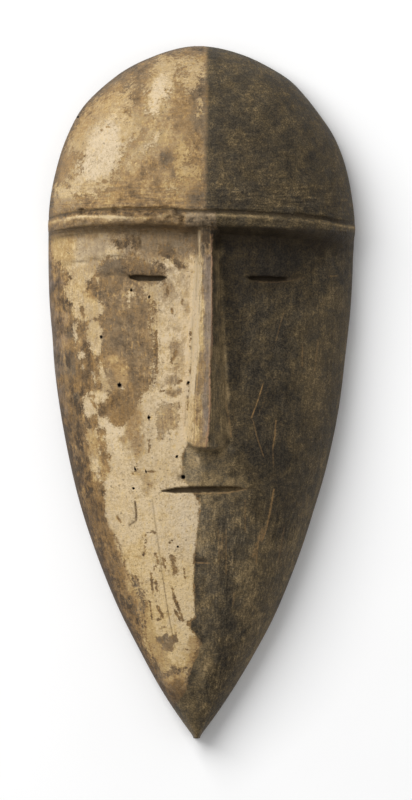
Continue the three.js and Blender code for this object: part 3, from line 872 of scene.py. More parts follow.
# The half that is painted dark, with its tone and warmth and the washes over them
DARK_SIDE = [
    (207, 30), (207, 120), (206, 209), (215, 214), (217, 230), (206, 231), (212.5, 236), (212.5, 345),
    (210, 380), (211, 400), (210, 420), (206.5, 448), (194, 446), *HALVES_BORDER, (202, 644), (194, 662),
    (189, 676), (186, 690), (178, 702), (170, 712), (190, 760), (400, 760), (400, 30),
]
DARK_BASES = ((0.50, 0.5), (0.44, 0.6))
DARK_WASHES = [
    # Forehead
    ([(207, 40), (217, 44), (218, 206), (205, 210)], 0.55, 0.45, 2.0),
    ([(218, 50), (276, 70), (270, 100), (226, 104)], 0.62, 0.5, 5.0),
    ([(318, 110), (352, 150), (356, 215), (328, 212), (322, 160)], 0.51, 0.9, 4.0),
    # Brow and eye
    # The next two are dark paint with painted shade cast by the brow over the eye
    ([(212, 228), (352, 232), (352, 248), (310, 258), (240, 262), (213, 270)], 0.07, 1.2, 4.0),
    ([(216, 246), (304, 244), (316, 264), (292, 290), (222, 306)], 0.13, 0.6, 4.0),
    ([(256, 256), (300, 255), (312, 264), (296, 272), (262, 272)], 0.16, 0.2, 3.0),
    ([(280, 290), (306, 286), (300, 306), (284, 308)], 0.34, 0.2, 3.0),
    # Cheek
    # Beside the nose: dark paint with the nose's painted shadow
    ([(226, 262), (240, 262), (248, 330), (240, 380), (228, 384)], 0.22, 0.7, 4.0),
    ([(252, 300), (296, 296), (308, 480), (264, 500), (246, 400)], 0.41, 0.3, 6.0),
    ([(300, 300), (342, 290), (334, 420), (294, 418)], 0.62, 0.75, 5.0),
    ([(336, 290), (356, 290), (348, 400), (336, 470), (322, 470), (334, 360)], 0.58, 1.2, 3.0),
    ([
        (250, 384), (266, 382), (276, 388), (290, 386), (290, 398), (272, 400), (264, 416), (252, 412),
    ], 0.28, 0.1, 2.5),
    ([
        (254, 440), (272, 440), (284, 448), (296, 446), (310, 466), (306, 490), (284, 480), (262, 476),
    ], 0.33, 0.1, 3.0),
    # Nose and lips
    ([
        (212.5, 244), (220.5, 244), (226, 330), (229, 410), (232, 440), (209, 446), (211, 345),
    ], 0.785, 0.8, 1.0),
    ([(212, 236), (215, 236), (216, 345), (213, 345)], 0.48, 0.5, 0.8),
    ([(222, 330), (225, 330), (230, 434), (225.5, 434)], 0.88, 0.9, 0.6),
    # The nose's root under the band: dark paint with painted shade
    ([(210, 228), (222, 228), (222, 246), (212, 246)], 0.24, 0.7, 1.5),
    ([(184, 440), (206, 447), (226, 454), (232, 470), (222, 484), (184, 484)], 0.74, 0.6, 2.5),
    ([(182, 440), (200, 446), (205, 470), (202, 490), (182, 488)], 0.93, 0.6, 1.8),
    # Lighter below the nose's end: painted light that lifts the nose's cast shadow
    ([(205, 443), (230, 439), (233, 450), (209, 455)], 0.80, 0.6, 1.2),
    ([(200, 472), (236, 476), (246, 484), (246, 500), (200, 500)], 0.82, 1.0, 2.0),
    # Chin and jaw
    ([(198, 498), (240, 496), (270, 530), (262, 610), (214, 640), (196, 620), (196, 560)], 0.70, 0.6, 5.0),
    ([(246, 526), (268, 526), (274, 610), (252, 620)], 0.70, 0.9, 3.0),
    ([(196, 500), (226, 498), (226, 530), (198, 530)], 0.79, 0.6, 2.0),
    ([(230, 504), (252, 504), (258, 552), (232, 556)], 0.64, 0.6, 3.0),
    ([(212, 510), (228, 508), (236, 590), (222, 596)], 0.56, 0.2, 2.5),
    ([(200, 490), (212, 497), (210, 560), (196, 562)], 0.80, 0.5, 1.5),
    ([(218, 548), (232, 552), (234, 632), (220, 630)], 0.50, 0.4, 3.0),
    ([(292, 430), (340, 400), (320, 500), (286, 560), (284, 500)], 0.53, 0.65, 5.0),
    ([(262, 560), (300, 520), (320, 470), (330, 470), (300, 560), (250, 680), (230, 690)], 0.68, 0.9, 3.0),
    ([(192, 640), (210, 636), (218, 658), (204, 690), (190, 690)], 0.78, 0.9, 2.0),
    ([(160, 690), (222, 690), (200, 745), (180, 730)], 0.61, 0.85, 3.0),
]

# Light scratches on the dark half, and painted highlights on the lower lips of a notch, the right eye and
# the mouth: line, half width in mm, strength
SCRATCHES_AND_HIGHLIGHTS = [
    ([(262.5, 385), (257, 402), (251.5, 417)], 0.22, 0.85),
    ([(275.5, 421), (274.5, 436), (272.5, 448)], 0.25, 0.7), ([(272.5, 448), (273, 464)], 0.2, 0.35),
    ([(253, 421), (257, 438), (263, 455)], 0.2, 0.4),
    ([(273.5, 490), (270, 510), (266, 528), (262, 540)], 0.32, 0.8),
    ([(264, 528), (258, 541), (254, 556)], 0.9, 0.5), ([(258, 540), (256, 562)], 0.25, 0.6),
    ([(222, 534), (222, 556)], 0.25, 0.3), ([(226, 530), (226, 572)], 0.2, 0.35),
    ([(218, 530), (219, 560)], 0.25, 0.3), ([(234, 592), (233, 604)], 0.35, 0.3),
    ([(283, 314), (280, 324), (276, 340)], 0.2, 0.3), ([(302, 346), (302, 366)], 0.3, 0.35),
    ([(318, 340), (314, 372)], 0.3, 0.3), ([(226, 404), (229, 420), (231, 436)], 0.35, 0.35),
    ([(284, 528), (278, 560)], 0.35, 0.3), ([(245, 500), (245, 530)], 0.3, 0.3),
    # The first is a painted highlight on the notch's lower lip
    ([(198, 562), (208, 562.5)], 0.25, 0.6), ([(330, 276.4), (336, 276.2)], 0.25, 0.4),
    # Painted highlights along the lower lips of the right eye and of the mouth
    ([(258, 282.6), (276, 282.8), (290, 281.2), (303, 278.2)], 0.25, 0.12),
    ([(190, 492.9), (205, 493.1), (218, 493), (230, 491.8), (246, 488.6)], 0.3, 0.45),
]

# Cracks in the pale half: line, half width in mm, strength
CRACKS = [
    ([(152.5, 500), (158, 540), (163, 577)], 0.25, 0.3), ([(163, 577), (168, 610), (175, 646)], 0.2, 0.6),
    ([(135.4, 502), (136.6, 512), (136.4, 520)], 0.3, 0.9), ([(136.4, 520), (130, 524.5)], 0.3, 0.7),
]

# Smaller areas: the cream that is smeared with grime, the streaky left edge, the violet wood of the nose
# and the left edge, the mouth's right end with lighter painted shade, a blob of pigment on the lip, the
# nose's rubbed rim
GRIMY_CREAM = [
    (48, 230), (196, 230), (190, 400), (182, 436), (160, 436), (150, 400), (160, 350), (156, 290),
    (120, 264), (48, 262),
]
LEFT_EDGE = [
    (40, 246), (60, 262), (104, 290), (106, 400), (102, 476), (114, 540), (130, 574), (146, 590),
    (150, 640), (172, 700), (150, 720), (80, 560), (40, 400),
]
NOSE_VIOLET = [
    (204, 256), (211, 256), (211.5, 345), (208, 380), (208, 436), (203, 436), (204, 390), (205.5, 340),
    (204, 290),
]
EDGE_VIOLET = [(44, 250), (50, 262), (53, 300), (55, 350), (57, 400), (44, 420)]
MOUTH_RIGHT_END = [(218, 480), (252, 480), (252, 498), (218, 498)]
LIP_BLOB = [(195.2, 455.5), (199.8, 458), (199.6, 463), (198, 463.5), (196.5, 460)]
NOSE_RIM = ([(212, 236), (212.3, 345), (209.8, 380), (210.3, 400), (209.3, 422), (206, 447)], 0.4, 0.8)

# The roll's paint in (x, height over the scored line): where it ends, its ridge, worn with a painted
# highlight, and where the grime and painted shade below it start
BAND_END = [(10, -5.9), (20, -5.5), (33, -4.9), (47, -4.1), (54, -3.7)]
BAND_RIDGE = [
    (-54, -1.9), (-45, -2.0), (-36, -2.6), (-22, -3.3), (-14, -2.6), (-3, -1.7), (10, -1.3), (38, -1.6),
    (54, -1.7),
]
BAND_FOOT = [(-54, -4.7), (-30, -4.8), (-14, -5.1), (0, -5.2), (24, -4.5), (38, -3.5), (54, -2.7)]

# How bright the ridge is, worn with a painted highlight, as (x, share)
RIDGE_WEAR_AND_HIGHLIGHT = [
    (-54, 0.5), (-44, 1.2), (-30, 1.3), (-22, 0.7), (-12, 0.4), (-3, 0.3), (8, 0.8), (24, 0.8), (38, 0.15),
    (50, 0.85),
]
RIDGE_WIDTH = 0.6
# Where the lit facet right of the break takes a painted highlight, and where the roll turns grey
LIT_ROLL_FACET_X, GREY_ROLL_X = pixel_x(188), pixel_x(184)
PALE_ROLL_WARMTH, GREY_ROLL_WARMTH, DARK_ROLL_WARMTH = 0.7, 0.1, 0.85

# The forehead's grain is strong below this height, and the dark chin's to the right of and below this corner
LOW_FOREHEAD_Y = pixel_y(180)
DARK_CHIN_X, DARK_CHIN_Y = pixel_x(196), pixel_y(490)

# Below this height the only slit is the mouth
MOUTH_TOP_Y = pixel_y(440)

# Edges of the paint: how far their effect reaches, how ragged they are, and how soft a stroke's edge is
EDGE_REACH = 4.0
RAGGED_EDGE = 0.32
STROKE_SOFTNESS = 0.25

# Lines: how far off they are felt, how they fade beyond their ends, and the place of a point far from all
LINE_REACH, LINE_END, FAR_ACROSS = 2.2, 1.0, 9.0

# Grime and painted shade along the left edge, where the surface turns away: how dark, and how far in
EDGE_GRIME_AND_SHADE, EDGE_GRIME_AND_SHADE_REACH = 0.27, 1.4


def ragged(x, y):
    """Unevenness about 0 that makes the edges of the paint ragged."""
    near = lattice_noise(x, y, 3.4, 3.8, 71) + 0.7 * lattice_noise(x, y, 1.5, 1.7, 72)
    return near + 0.5 * lattice_noise(x, y, 0.9, 1.0, 73)


def inside(x, y, outline, softness):
    """1 inside a ragged outline, 0 outside it."""
    distance = outline_distance(x, y, outline) + softness * 0.7 * ragged(x, y)
    return smooth(distance / (2 * softness) + 0.5)


def washed(x, y, forehead, bases, washes):
    """Tone and warmth: the base of the forehead or the face, with each wash laid over it in turn."""
    tone, warmth = (mix(on_face, on_forehead, forehead) for on_forehead, on_face in zip(*bases))
    for outline, wash_tone, wash_warmth, softness in washes:
        share = inside(x, y, outline, softness)
        tone = mix(tone, wash_tone, share)
        warmth = mix(warmth, wash_warmth, share)
    return tone, warmth


def line_fields(x, y, lines):
    """Signed distance from the nearest line, in its half widths, and that line's strength."""
    nearest = np.full(x.shape, LINE_REACH)
    across = np.full(x.shape, FAR_ACROSS)
    strength = np.zeros(x.shape)
    for line, width, force in lines:
        points = [place(*point) for point in line]
        last = len(points) - 2
        for n, ((ax, ay), (bx, by)) in enumerate(zip(points, points[1:])):
            dx, dy = bx - ax, by - ay
            length = math.hypot(dx, dy)
            along = ((x - ax) * dx + (y - ay) * dy) / length
            sideways = ((x - ax) * dy - (y - ay) * dx) / length
            beyond = np.maximum(-along, along - length)
            distance = np.hypot(sideways, np.maximum(beyond, 0))
            ended = (along < 0) * (n == 0) + (along > length) * (n == last)
            closer = distance < nearest
            nearest = np.where(closer, distance, nearest)
            across = np.where(closer, sideways / width, across)
            strength = np.where(closer, force * (1 - ended * smooth(beyond / LINE_END)), strength)
    return across, strength


def band_tones(x, y, forehead):
    """Pale tone, dark tone and share of the roll: grimy above, worn with a painted highlight on its ridge
    and lit facet.
    """
    above = above_band(x, y)
    on_roll = smooth((above - through(BAND_END, x)) / 0.6) * (1 - forehead)
    ridge_height = through(BAND_RIDGE, x) + 0.2 * lattice_noise(x, y, 8, 9, 81)
    ridge = np.exp(-(((above - ridge_height) / RIDGE_WIDTH) ** 2))
    ridge += 0.25 * smooth((ridge_height - above) / RIDGE_WIDTH)
    facet = np.exp(-(((x - LIT_ROLL_FACET_X) / 1.2) ** 2))
    # The ridge's worn brightness with a painted highlight, strongest on the lit facet beside the break
    wear = through(RIDGE_WEAR_AND_HIGHLIGHT, x) + 0.25 * lattice_noise(x, y, 4, 9, 83) + 0.35 * facet
    rough = 0.1 * lattice_noise(x, above, 2.2, 0.9, 85) + 0.11 * lattice_noise(x, above, 0.9, 0.7, 87)
    rough = rough + 0.05 * smooth((above + 1.4) / 0.8)
    return 0.27 + 0.66 * ridge * wear + rough, 0.45 + 0.5 * ridge * wear + 0.7 * rough, on_roll


def pigment_edge(x, y, forehead):
    """How far inside the pigment that is left, in widths of its soft edge; negative where it is worn off."""
    def widest(field, outlines, unevenness):
        for outline, softness in outlines:
            field = np.maximum(field, (outline_distance(x, y, outline) + unevenness) / softness)
        return field

    none = np.full(x.shape, -EDGE_REACH)
    uneven = RAGGED_EDGE * ragged(x, y)
    on_forehead = widest(none, FOREHEAD_PIGMENT, 2.5 * uneven)
    on_face = widest(none, FACE_PIGMENT, uneven)
    on_face = -widest(-on_face, FACE_WORN, uneven)
    on_face = widest(on_face, PIGMENT_ISLANDS, uneven)
    for line, width in FLAKED_STROKES:
        away = (line_distance(x, y, line) - width) / STROKE_SOFTNESS
        on_face = np.minimum(on_face, away)
        on_forehead = np.minimum(on_forehead, 3 * away)
    return np.clip(mix(on_face, on_forehead, forehead > 0.5), -EDGE_REACH, EDGE_REACH)


def pale_fields(x, y, forehead, bases, washes):
    """Tone and warmth of the pigment, or of the worn wood, on the pale half."""
    tone, warmth = washed(x, y, forehead, bases, washes)
    from_edge = middle_x(y) - x - side_width(x, y, -1)
    # Darker along the left edge: grime with painted shade where the surface turns away
    tone = tone - EDGE_GRIME_AND_SHADE * np.exp(-(from_edge / EDGE_GRIME_AND_SHADE_REACH) ** 2)
    roll_tone, _, on_roll = band_tones(x, y, forehead)
    grey_part = smooth((x - GREY_ROLL_X) / 1.5)
    roll_warmth = mix(PALE_ROLL_WARMTH, GREY_ROLL_WARMTH, grey_part)
    return mix(tone, roll_tone - 0.08 * grey_part, on_roll), mix(warmth, roll_warmth, on_roll)


def streakiness(x, y, forehead, nose):
    """How strongly the wood grain shows: most on the nose and the left edge, faintly on the forehead."""
    left_edge = inside(x, y, LEFT_EDGE, 3.0)
    low_forehead = 0.25 + 0.5 * smooth((LOW_FOREHEAD_Y - y) / 5)
    dark_chin = smooth((x - DARK_CHIN_X) / 3) * smooth((DARK_CHIN_Y - y) / 12)
    strongest = np.maximum(smooth(nose / 0.2), np.maximum(0.55 * left_edge, 0.9 * dark_chin))
    return mix(np.maximum(strongest, 0.35), low_forehead, forehead)


def dark_fields(x, y, forehead):
    """Tone and warmth of the dark half."""
    tone, warmth = washed(x, y, forehead, DARK_BASES, DARK_WASHES)
    _, roll_tone, on_roll = band_tones(x, y, forehead)
    return mix(tone, roll_tone, on_roll), mix(warmth, DARK_ROLL_WARMTH, on_roll)


def dirt_and_shade_field(x, y):
    """Grime with painted shade in the scored line, under the band, at the foot of the nose, and in dents and
    grooves.
    """
    above = above_band(x, y)
    scored = 0.8 + 0.4 * lattice_noise(x, above, 9, 3, 91)
    field = 0.92 * scored * np.exp(-(((above + 0.1) / 0.5) ** 2))
    lines = 0.75 + 0.45 * lattice_noise(x, above, 14, 0.7, 93)
    under_band = smooth((through(BAND_FOOT, x) - above) / 0.9) * smooth((above + 11.5) / 5.5)
    field = np.maximum(field, 0.68 * lines * under_band)
    nose = nose_share(x, y)
    foot = np.exp(-((nose / 0.12) ** 2)) * (nose > 0)
    field = np.maximum(field, 0.2 * foot)
    for groove in GROOVES:
        field = np.maximum(field, 1.3 * groove_depth(x, y, groove))
    for dent in DENTS:
        field = np.maximum(field, 0.5 * dent_depth(x, y, dent))
    return clamp01(field)


def slit_shade_and_dirt(x, y):
    """How much painted shade and grime darken the slits: less in the mouth, and least at its right end."""
    depth = sum(slit_depth(x, y, slit) for slit in SLITS)
    mouth = y < MOUTH_TOP_Y
    return smooth(depth) * (1 - 0.05 * mouth - 0.8 * inside(x, y, MOUTH_RIGHT_END, 2.5))


def paint(mesh, points, first, count):
    """Stores the paint fields on the front's points; the rim and hollow stay bare wood."""
    rows, columns = points.shape[:2]
    x, y = points[..., 0], points[..., 1]
    bare = np.zeros((rows, columns), bool)
    bare[:, first + count + WALL_STEPS :] = True
    bare[:, : first - WALL_STEPS] = True
    forehead = smooth((above_band(x, y) + 0.3) / 0.6)
    pigment_tone, pigment_warmth = pale_fields(x, y, forehead, PIGMENT_BASES, PIGMENT_WASHES)
    worn_tone, worn_warmth = pale_fields(x, y, forehead, WORN_BASES, WORN_WASHES)
    dark_tone, dark_warmth = dark_fields(x, y, forehead)
    nose = nose_share(x, y)
    line_across, line_strength = line_fields(x, y, CRACKS + SCRATCHES_AND_HIGHLIGHTS)
    rim_across, rim_strength = line_fields(x, y, [NOSE_RIM])
    fields = {
        "pigment_edge": pigment_edge(x, y, forehead),
        "pigment_tone": pigment_tone,
        "pigment_warmth": pigment_warmth,
        "worn_tone": worn_tone,
        "worn_warmth": worn_warmth,
        "dark_tone": dark_tone,
        "dark_warmth": dark_warmth,
        "dark_side": outline_distance(x, y, DARK_SIDE),
        "lip_blob": inside(x, y, LIP_BLOB, 0.25),
        # Grime with painted shade in creases and under the band
        "dirt_and_shade": dirt_and_shade_field(x, y),
        # The slits' painted shade and grime
        "slit": slit_shade_and_dirt(x, y),
        "line_across": line_across,
        "line_strength": line_strength,
        "rim_across": rim_across,
        "rim_strength": rim_strength,
        "violet": np.maximum(inside(x, y, NOSE_VIOLET, 0.6), inside(x, y, EDGE_VIOLET, 5.0)),
        "streaky": streakiness(x, y, forehead, nose),
        "flaky": 1.0 + 0.7 * forehead - 0.7 * smooth(nose / 0.2),
        "grimy": inside(x, y, GRIMY_CREAM, 3.0),
        "blotchy": 0.14 + 0.24 * inside(x, y, LEFT_EDGE, 3.0),
        "across": np.maximum(forehead, band_tones(x, y, forehead)[2]),
        "forehead": forehead,
        "bare": bare.astype(float),
    }
    for name, field in fields.items():
        attribute = mesh.attributes.new(name, "FLOAT", "POINT")
        attribute.data.foreach_set("value", np.ravel(field).astype(np.float32))


# Materials
class Nodes:
    """Short names for the shader nodes that the wood uses."""

    def __init__(self, name):
        self.material = bpy.data.materials.new(name)
        self.material.use_nodes = True
        self.tree = self.material.node_tree
        self.shader = self.tree.nodes["Principled BSDF"]
        self.place = self.new("ShaderNodeTexCoord").outputs["Object"]

    def new(self, kind):
        return self.tree.nodes.new(kind)

    def feed(self, socket, value):
        if isinstance(value, (int, float)):
            socket.default_value = value
        elif isinstance(value, tuple):
            socket.default_value = (*value, 1.0) if len(socket.default_value) == 4 else value
        else:
            self.tree.links.new(value, socket)

    def field(self, name):
        node = self.new("ShaderNodeAttribute")
        node.attribute_name = name
        return node.outputs["Fac"]

    def math(self, operation, a, b=0.0):
        node = self.new("ShaderNodeMath")
        node.operation = operation
        self.feed(node.inputs[0], a)
        self.feed(node.inputs[1], b)
        return node.outputs[0]

    def ramp(self, value, low, high, to_low=0.0, to_high=1.0):
        node = self.new("ShaderNodeMapRange")
        node.interpolation_type = "SMOOTHSTEP"
        for socket, number in zip(node.inputs[1:5], (low, high, to_low, to_high)):
            socket.default_value = number
        self.feed(node.inputs[0], value)
        return node.outputs[0]

    def noise(self, width, length=None, detail=3.0, roughness=0.55, shift=0.0):
        """Noise from 0 to 1 whose lumps are width by length millimetres."""
        length = length or width
        scale = self.new("ShaderNodeVectorMath")
        scale.operation = "MULTIPLY_ADD"
        self.feed(scale.inputs[0], self.place)
        scale.inputs[1].default_value = (1000 / width, 1000 / length, 1000 / width)
        scale.inputs[2].default_value = (shift, shift * 1.7, shift * 0.6)
        node = self.new("ShaderNodeTexNoise")
        self.feed(node.inputs["Vector"], scale.outputs[0])
        node.inputs["Scale"].default_value = 1.0
        node.inputs["Detail"].default_value = detail
        node.inputs["Roughness"].default_value = roughness
        return node.outputs[0]

    def add(self, *terms):
        """A sum of (value, weight, middle) terms: what each value has over its middle, times its weight."""
        total = 0.0
        for value, weight, middle in terms:
            total = self.plus(total, self.times(self.minus(value, middle), weight))
        return total

    def times(self, a, b):
        return self.math("MULTIPLY", a, b)

    def plus(self, a, b):
        return self.math("ADD", a, b)

    def minus(self, a, b):
        return self.math("SUBTRACT", a, b)

    def capped(self, value):
        """A value held between 0 and 1."""
        return self.math("MAXIMUM", self.math("MINIMUM", value, 1.0), 0.0)

    def line(self, across, strength):
        """How much of a thin line covers a point, from the stored signed distance and strength."""
        middle = self.ramp(self.math("ABSOLUTE", self.field(across)), 0.4, 1.6, 1.0, 0.0)
        return self.times(middle, self.field(strength))

    def between(self, factor, a, b):
        """Mixes two numbers."""
        return self.plus(a, self.times(self.minus(b, a), factor))

    def blend(self, factor, a, b):
        node = self.new("ShaderNodeMix")
        node.data_type = "RGBA"
        self.feed(node.inputs["Factor"], factor)
        self.feed(node.inputs[6], a)
        self.feed(node.inputs[7], b)
        return node.outputs[2]

    def tones(self, value, stops):
        """A colour from (position, colour) stops."""
        node = self.new("ShaderNodeValToRGB")
        ramp = node.color_ramp
        while len(ramp.elements) < len(stops):
            ramp.elements.new(0.5)
        for element, (position, colour) in zip(ramp.elements, stops):
            element.position = position
            element.color = (*colour, 1.0)
        self.feed(node.inputs[0], value)
        return node.outputs[0]


# Tones from bare to thick, linear: each pigment has a grey and a warm run
PALE_GREY = [
    (0.0, (0.070, 0.050, 0.030)), (0.2, (0.140, 0.102, 0.063)), (0.4, (0.205, 0.151, 0.093)),
    (0.6, (0.290, 0.216, 0.134)), (0.8, (0.420, 0.320, 0.198)), (1.0, (0.600, 0.480, 0.322)),
]
PALE_WARM = [
    (0.0, (0.074, 0.043, 0.019)), (0.2, (0.162, 0.094, 0.037)), (0.4, (0.250, 0.149, 0.058)),
    (0.6, (0.355, 0.221, 0.093)), (0.8, (0.455, 0.314, 0.137)), (1.0, (0.610, 0.450, 0.232)),
]
DARK_GREY = [
    (0.0, (0.012, 0.009, 0.006)), (0.3, (0.034, 0.027, 0.018)), (0.5, (0.054, 0.043, 0.028)),
    (0.7, (0.092, 0.073, 0.047)), (0.85, (0.175, 0.137, 0.085)), (1.0, (0.300, 0.240, 0.152)),
]
DARK_WARM = [
    (0.0, (0.014, 0.009, 0.005)), (0.3, (0.041, 0.029, 0.014)), (0.5, (0.067, 0.048, 0.024)),
    (0.7, (0.112, 0.080, 0.040)), (0.85, (0.195, 0.138, 0.068)), (1.0, (0.330, 0.236, 0.120)),
]
FLECK = (0.21, 0.145, 0.075)
FLECKED_BROWN = (0.24, 0.15, 0.07)
SCRATCH_AND_HIGHLIGHT_WOOD = (0.28, 0.165, 0.066)
VIOLET_WOOD = (0.24, 0.185, 0.148)
CRACKED_PAINT = (0.17, 0.105, 0.05)
RUBBED_WOOD = (0.34, 0.20, 0.115)
LIP_PIGMENT = (0.46, 0.34, 0.19)
PIN_DIRT = (0.12, 0.085, 0.05)
# The colour of grime with painted shade in creases and under the band
DEEP_DIRT_AND_SHADE = (0.05, 0.035, 0.020)
# Colours in the slits on the pale and the dark half: painted shade with grime in the cuts
SHADED_SLIT_WOOD, SLIT_SHADE = (0.110, 0.079, 0.046), (0.042, 0.030, 0.018)
BARE_WOOD = [(0.3, (0.09, 0.055, 0.033)), (0.5, (0.22, 0.14, 0.08)), (0.72, (0.28, 0.185, 0.11))]
# Near black on the borer holes' walls: painted shade
BORED_HOLE_SHADE = [(0.35, (0.012, 0.008, 0.005)), (0.7, (0.04, 0.026, 0.015))]
FLOOR_WHITE = [(0.3, (0.95, 0.95, 0.95)), (0.7, (0.97, 0.97, 0.97))]
RELIEF_HEIGHT = 0.9 * METRE


def wood_noises(n):
    """The noises that the paint shares, from 0 to 1; the grain is about 0 and strong where it is streaky."""
    streaks = n.ramp(n.noise(0.75, 10, detail=4, roughness=0.6, shift=1.9), 0.34, 0.66)
    cross_streaks = n.ramp(n.noise(8, 0.9, detail=3, shift=4.4), 0.34, 0.66)
    grain = n.between(n.field("across"), streaks, cross_streaks)
    return SimpleNamespace(
        coarse=n.noise(9, detail=4, shift=3.1),
        medium=n.ramp(n.noise(3.0, detail=5, roughness=0.6, shift=7.7), 0.32, 0.68),
        fine=n.ramp(n.noise(1.1, detail=3, roughness=0.6, shift=11.3), 0.34, 0.66),
        grit=n.ramp(n.noise(0.5, detail=2, shift=83.0), 0.34, 0.66),
        grain=n.times(n.minus(grain, 0.5), n.field("streaky")),
        hue=n.add(
            (n.noise(5, detail=3, shift=61.0), 0.8, 0.5),
            (n.noise(1.2, detail=2, shift=67.0), 0.6, 0.5),
        ),
    )


def uneven_tone(n, noises, coarse, medium, fine, grit, grain):
    """The shared noises about 0, summed by these weights."""
    return n.add(
        (noises.coarse, coarse, 0.5), (noises.medium, medium, 0.5), (noises.fine, fine, 0.5),
        (noises.grit, grit, 0.5), (noises.grain, grain, 0.0),
    )


def pigment_left(n, noises):
    """1 where the pale pigment is left and 0 where it has flaked off."""
    flaking = n.add((noises.medium, 1.1, 0.5), (noises.fine, 1.0, 0.5), (noises.grit, 0.6, 0.5))
    flaking = n.add((n.times(flaking, n.field("flaky")), 1.0, 0.0), (noises.grain, 1.0, 0.0))
    return n.ramp(n.plus(n.field("pigment_edge"), flaking), -0.8, 0.8)


def pigment_tone(n, noises, calm):
    """Tone of the pigment that is left: grimy in places, thin along its edge."""
    smears = n.ramp(n.noise(2.0, 3.0, detail=5, roughness=0.7, shift=43.0), 0.36, 0.64)
    grime = uneven_tone(n, noises, 0.3, 0.10, 0.14, 0.14, 0.16)
    grime = n.add((grime, 1.0, 0.0), (n.times(n.minus(smears, 0.5), n.field("grimy")), 0.22, 0.0))
    tone = n.plus(n.field("pigment_tone"), n.times(grime, calm))
    return n.plus(tone, n.ramp(n.field("pigment_edge"), -0.5, 2.0, -0.09, 0.02))


def worn_tone(n, noises, calm, flecks, patchy):
    """Tone of the wood where the pigment has worn off, a little lighter close to what is left."""
    mottle = uneven_tone(n, noises, 0.5, 0.20, 0.16, 0.14, 0.30)
    mottle = n.plus(n.plus(mottle, n.times(n.minus(flecks, 0.25), 0.20)), patchy)
    tone = n.plus(n.field("worn_tone"), n.times(mottle, calm))
    return n.plus(tone, n.ramp(n.field("pigment_edge"), -3.0, 0.0, 0.0, 0.10))


def pale_marks(n, noises, pale, line):
    """The pale half's pinholes, brown flecks, violet wood, rubbed rim and cracks."""
    pinholes = n.ramp(n.noise(1.1, detail=2, roughness=0.4, shift=23.0), 0.64, 0.72)
    pale = n.blend(n.times(pinholes, 0.55), pale, PIN_DIRT)
    brown_flecks = n.ramp(n.noise(1.5, 1.0, detail=4, roughness=0.7, shift=13.0), 0.54, 0.66)
    brown_flecks = n.times(brown_flecks, n.field("forehead"))
    pale = n.blend(n.times(brown_flecks, 0.32), pale, FLECKED_BROWN)
    violet = n.times(n.field("violet"), n.ramp(noises.medium, 0.0, 0.8, 0.25, 0.6))
    pale = n.blend(violet, pale, VIOLET_WOOD)
    pale = n.blend(n.line("rim_across", "rim_strength"), pale, RUBBED_WOOD)
    return n.blend(n.times(line, n.ramp(noises.fine, 0.1, 0.6, 0.5, 1.0)), pale, CRACKED_PAINT)


def pale_half(n, noises, left, line):
    """Tone and colour of the pale half, pigment over worn wood."""
    calm = n.ramp(n.noise(14, detail=2, shift=97.0), 0.35, 0.65, 0.6, 1.2)
    blotches = n.ramp(n.noise(3.6, 5.0, detail=4, roughness=0.65, shift=37.0), 0.38, 0.62)
    flecks = n.ramp(n.noise(1.0, 2.0, detail=3, roughness=0.6, shift=29.0), 0.56, 0.68)
    patchy = n.times(n.minus(blotches, 0.5), n.field("blotchy"))
    tone = n.between(left, worn_tone(n, noises, calm, flecks, patchy), pigment_tone(n, noises, calm))
    warmth = n.between(left, n.field("worn_warmth"), n.field("pigment_warmth"))
    warmth = n.add(
        (warmth, 1.0, 0.0), (noises.hue, 1.0, 0.0), (noises.grain, 0.6, 0.0), (flecks, 0.6, 0.25),
        (patchy, 0.9, 0.0),
    )
    pale = n.blend(n.capped(warmth), n.tones(tone, PALE_GREY), n.tones(tone, PALE_WARM))
    return tone, pale_marks(n, noises, pale, line)


def dark_half(n, noises, line):
    """Colour of the dark half, most even where it is darkest or worn bright."""
    clouds = n.ramp(n.noise(6.5, 8.5, detail=4, roughness=0.6, shift=71.0), 0.38, 0.62)
    base = n.field("dark_tone")
    uneven = uneven_tone(n, noises, 0.4, 0.20, 0.16, 0.32, 0.36)
    steady = n.times(n.ramp(base, 0.4, 0.85, 1.0, 0.45), n.ramp(base, 0.05, 0.4, 0.6, 1.0))
    tone = n.add((base, 1.0, 0.0), (n.times(uneven, steady), 1.0, 0.0), (clouds, 0.13, 0.5))
    warmth = n.add(
        (n.field("dark_warmth"), 1.0, 0.0), (noises.hue, 1.3, 0.0), (noises.grit, 0.5, 0.5),
        (noises.medium, 0.5, 0.5), (clouds, 0.6, 0.5),
    )
    dark = n.blend(n.capped(warmth), n.tones(tone, DARK_GREY), n.tones(tone, DARK_WARM))
    sparks = n.ramp(n.noise(1.0, 1.3, detail=3, roughness=0.7, shift=31.0), 0.60, 0.74)
    dark = n.blend(n.times(sparks, n.ramp(base, 0.1, 0.4, 0.1, 0.3)), dark, FLECK)
    # Light scratches, and painted highlights on the lips of cuts
    return n.blend(n.times(line, n.ramp(noises.fine, 0.1, 0.6, 0.4, 1.0)), dark, SCRATCH_AND_HIGHLIGHT_WOOD)


def dark_share(n, noises):
    """0 on the pale half and 1 on the dark one, with a ragged border."""
    edge = n.add(
        (n.field("dark_side"), 1.0, 0.0), (noises.medium, 0.6, 0.5), (noises.fine, 0.6, 0.5),
        (noises.grit, 0.3, 0.5),
    )
    edge_width = n.ramp(n.field("forehead"), 0, 1, 0.3, 0.9)
    return n.ramp(n.math("DIVIDE", edge, edge_width), -1.0, 1.0)


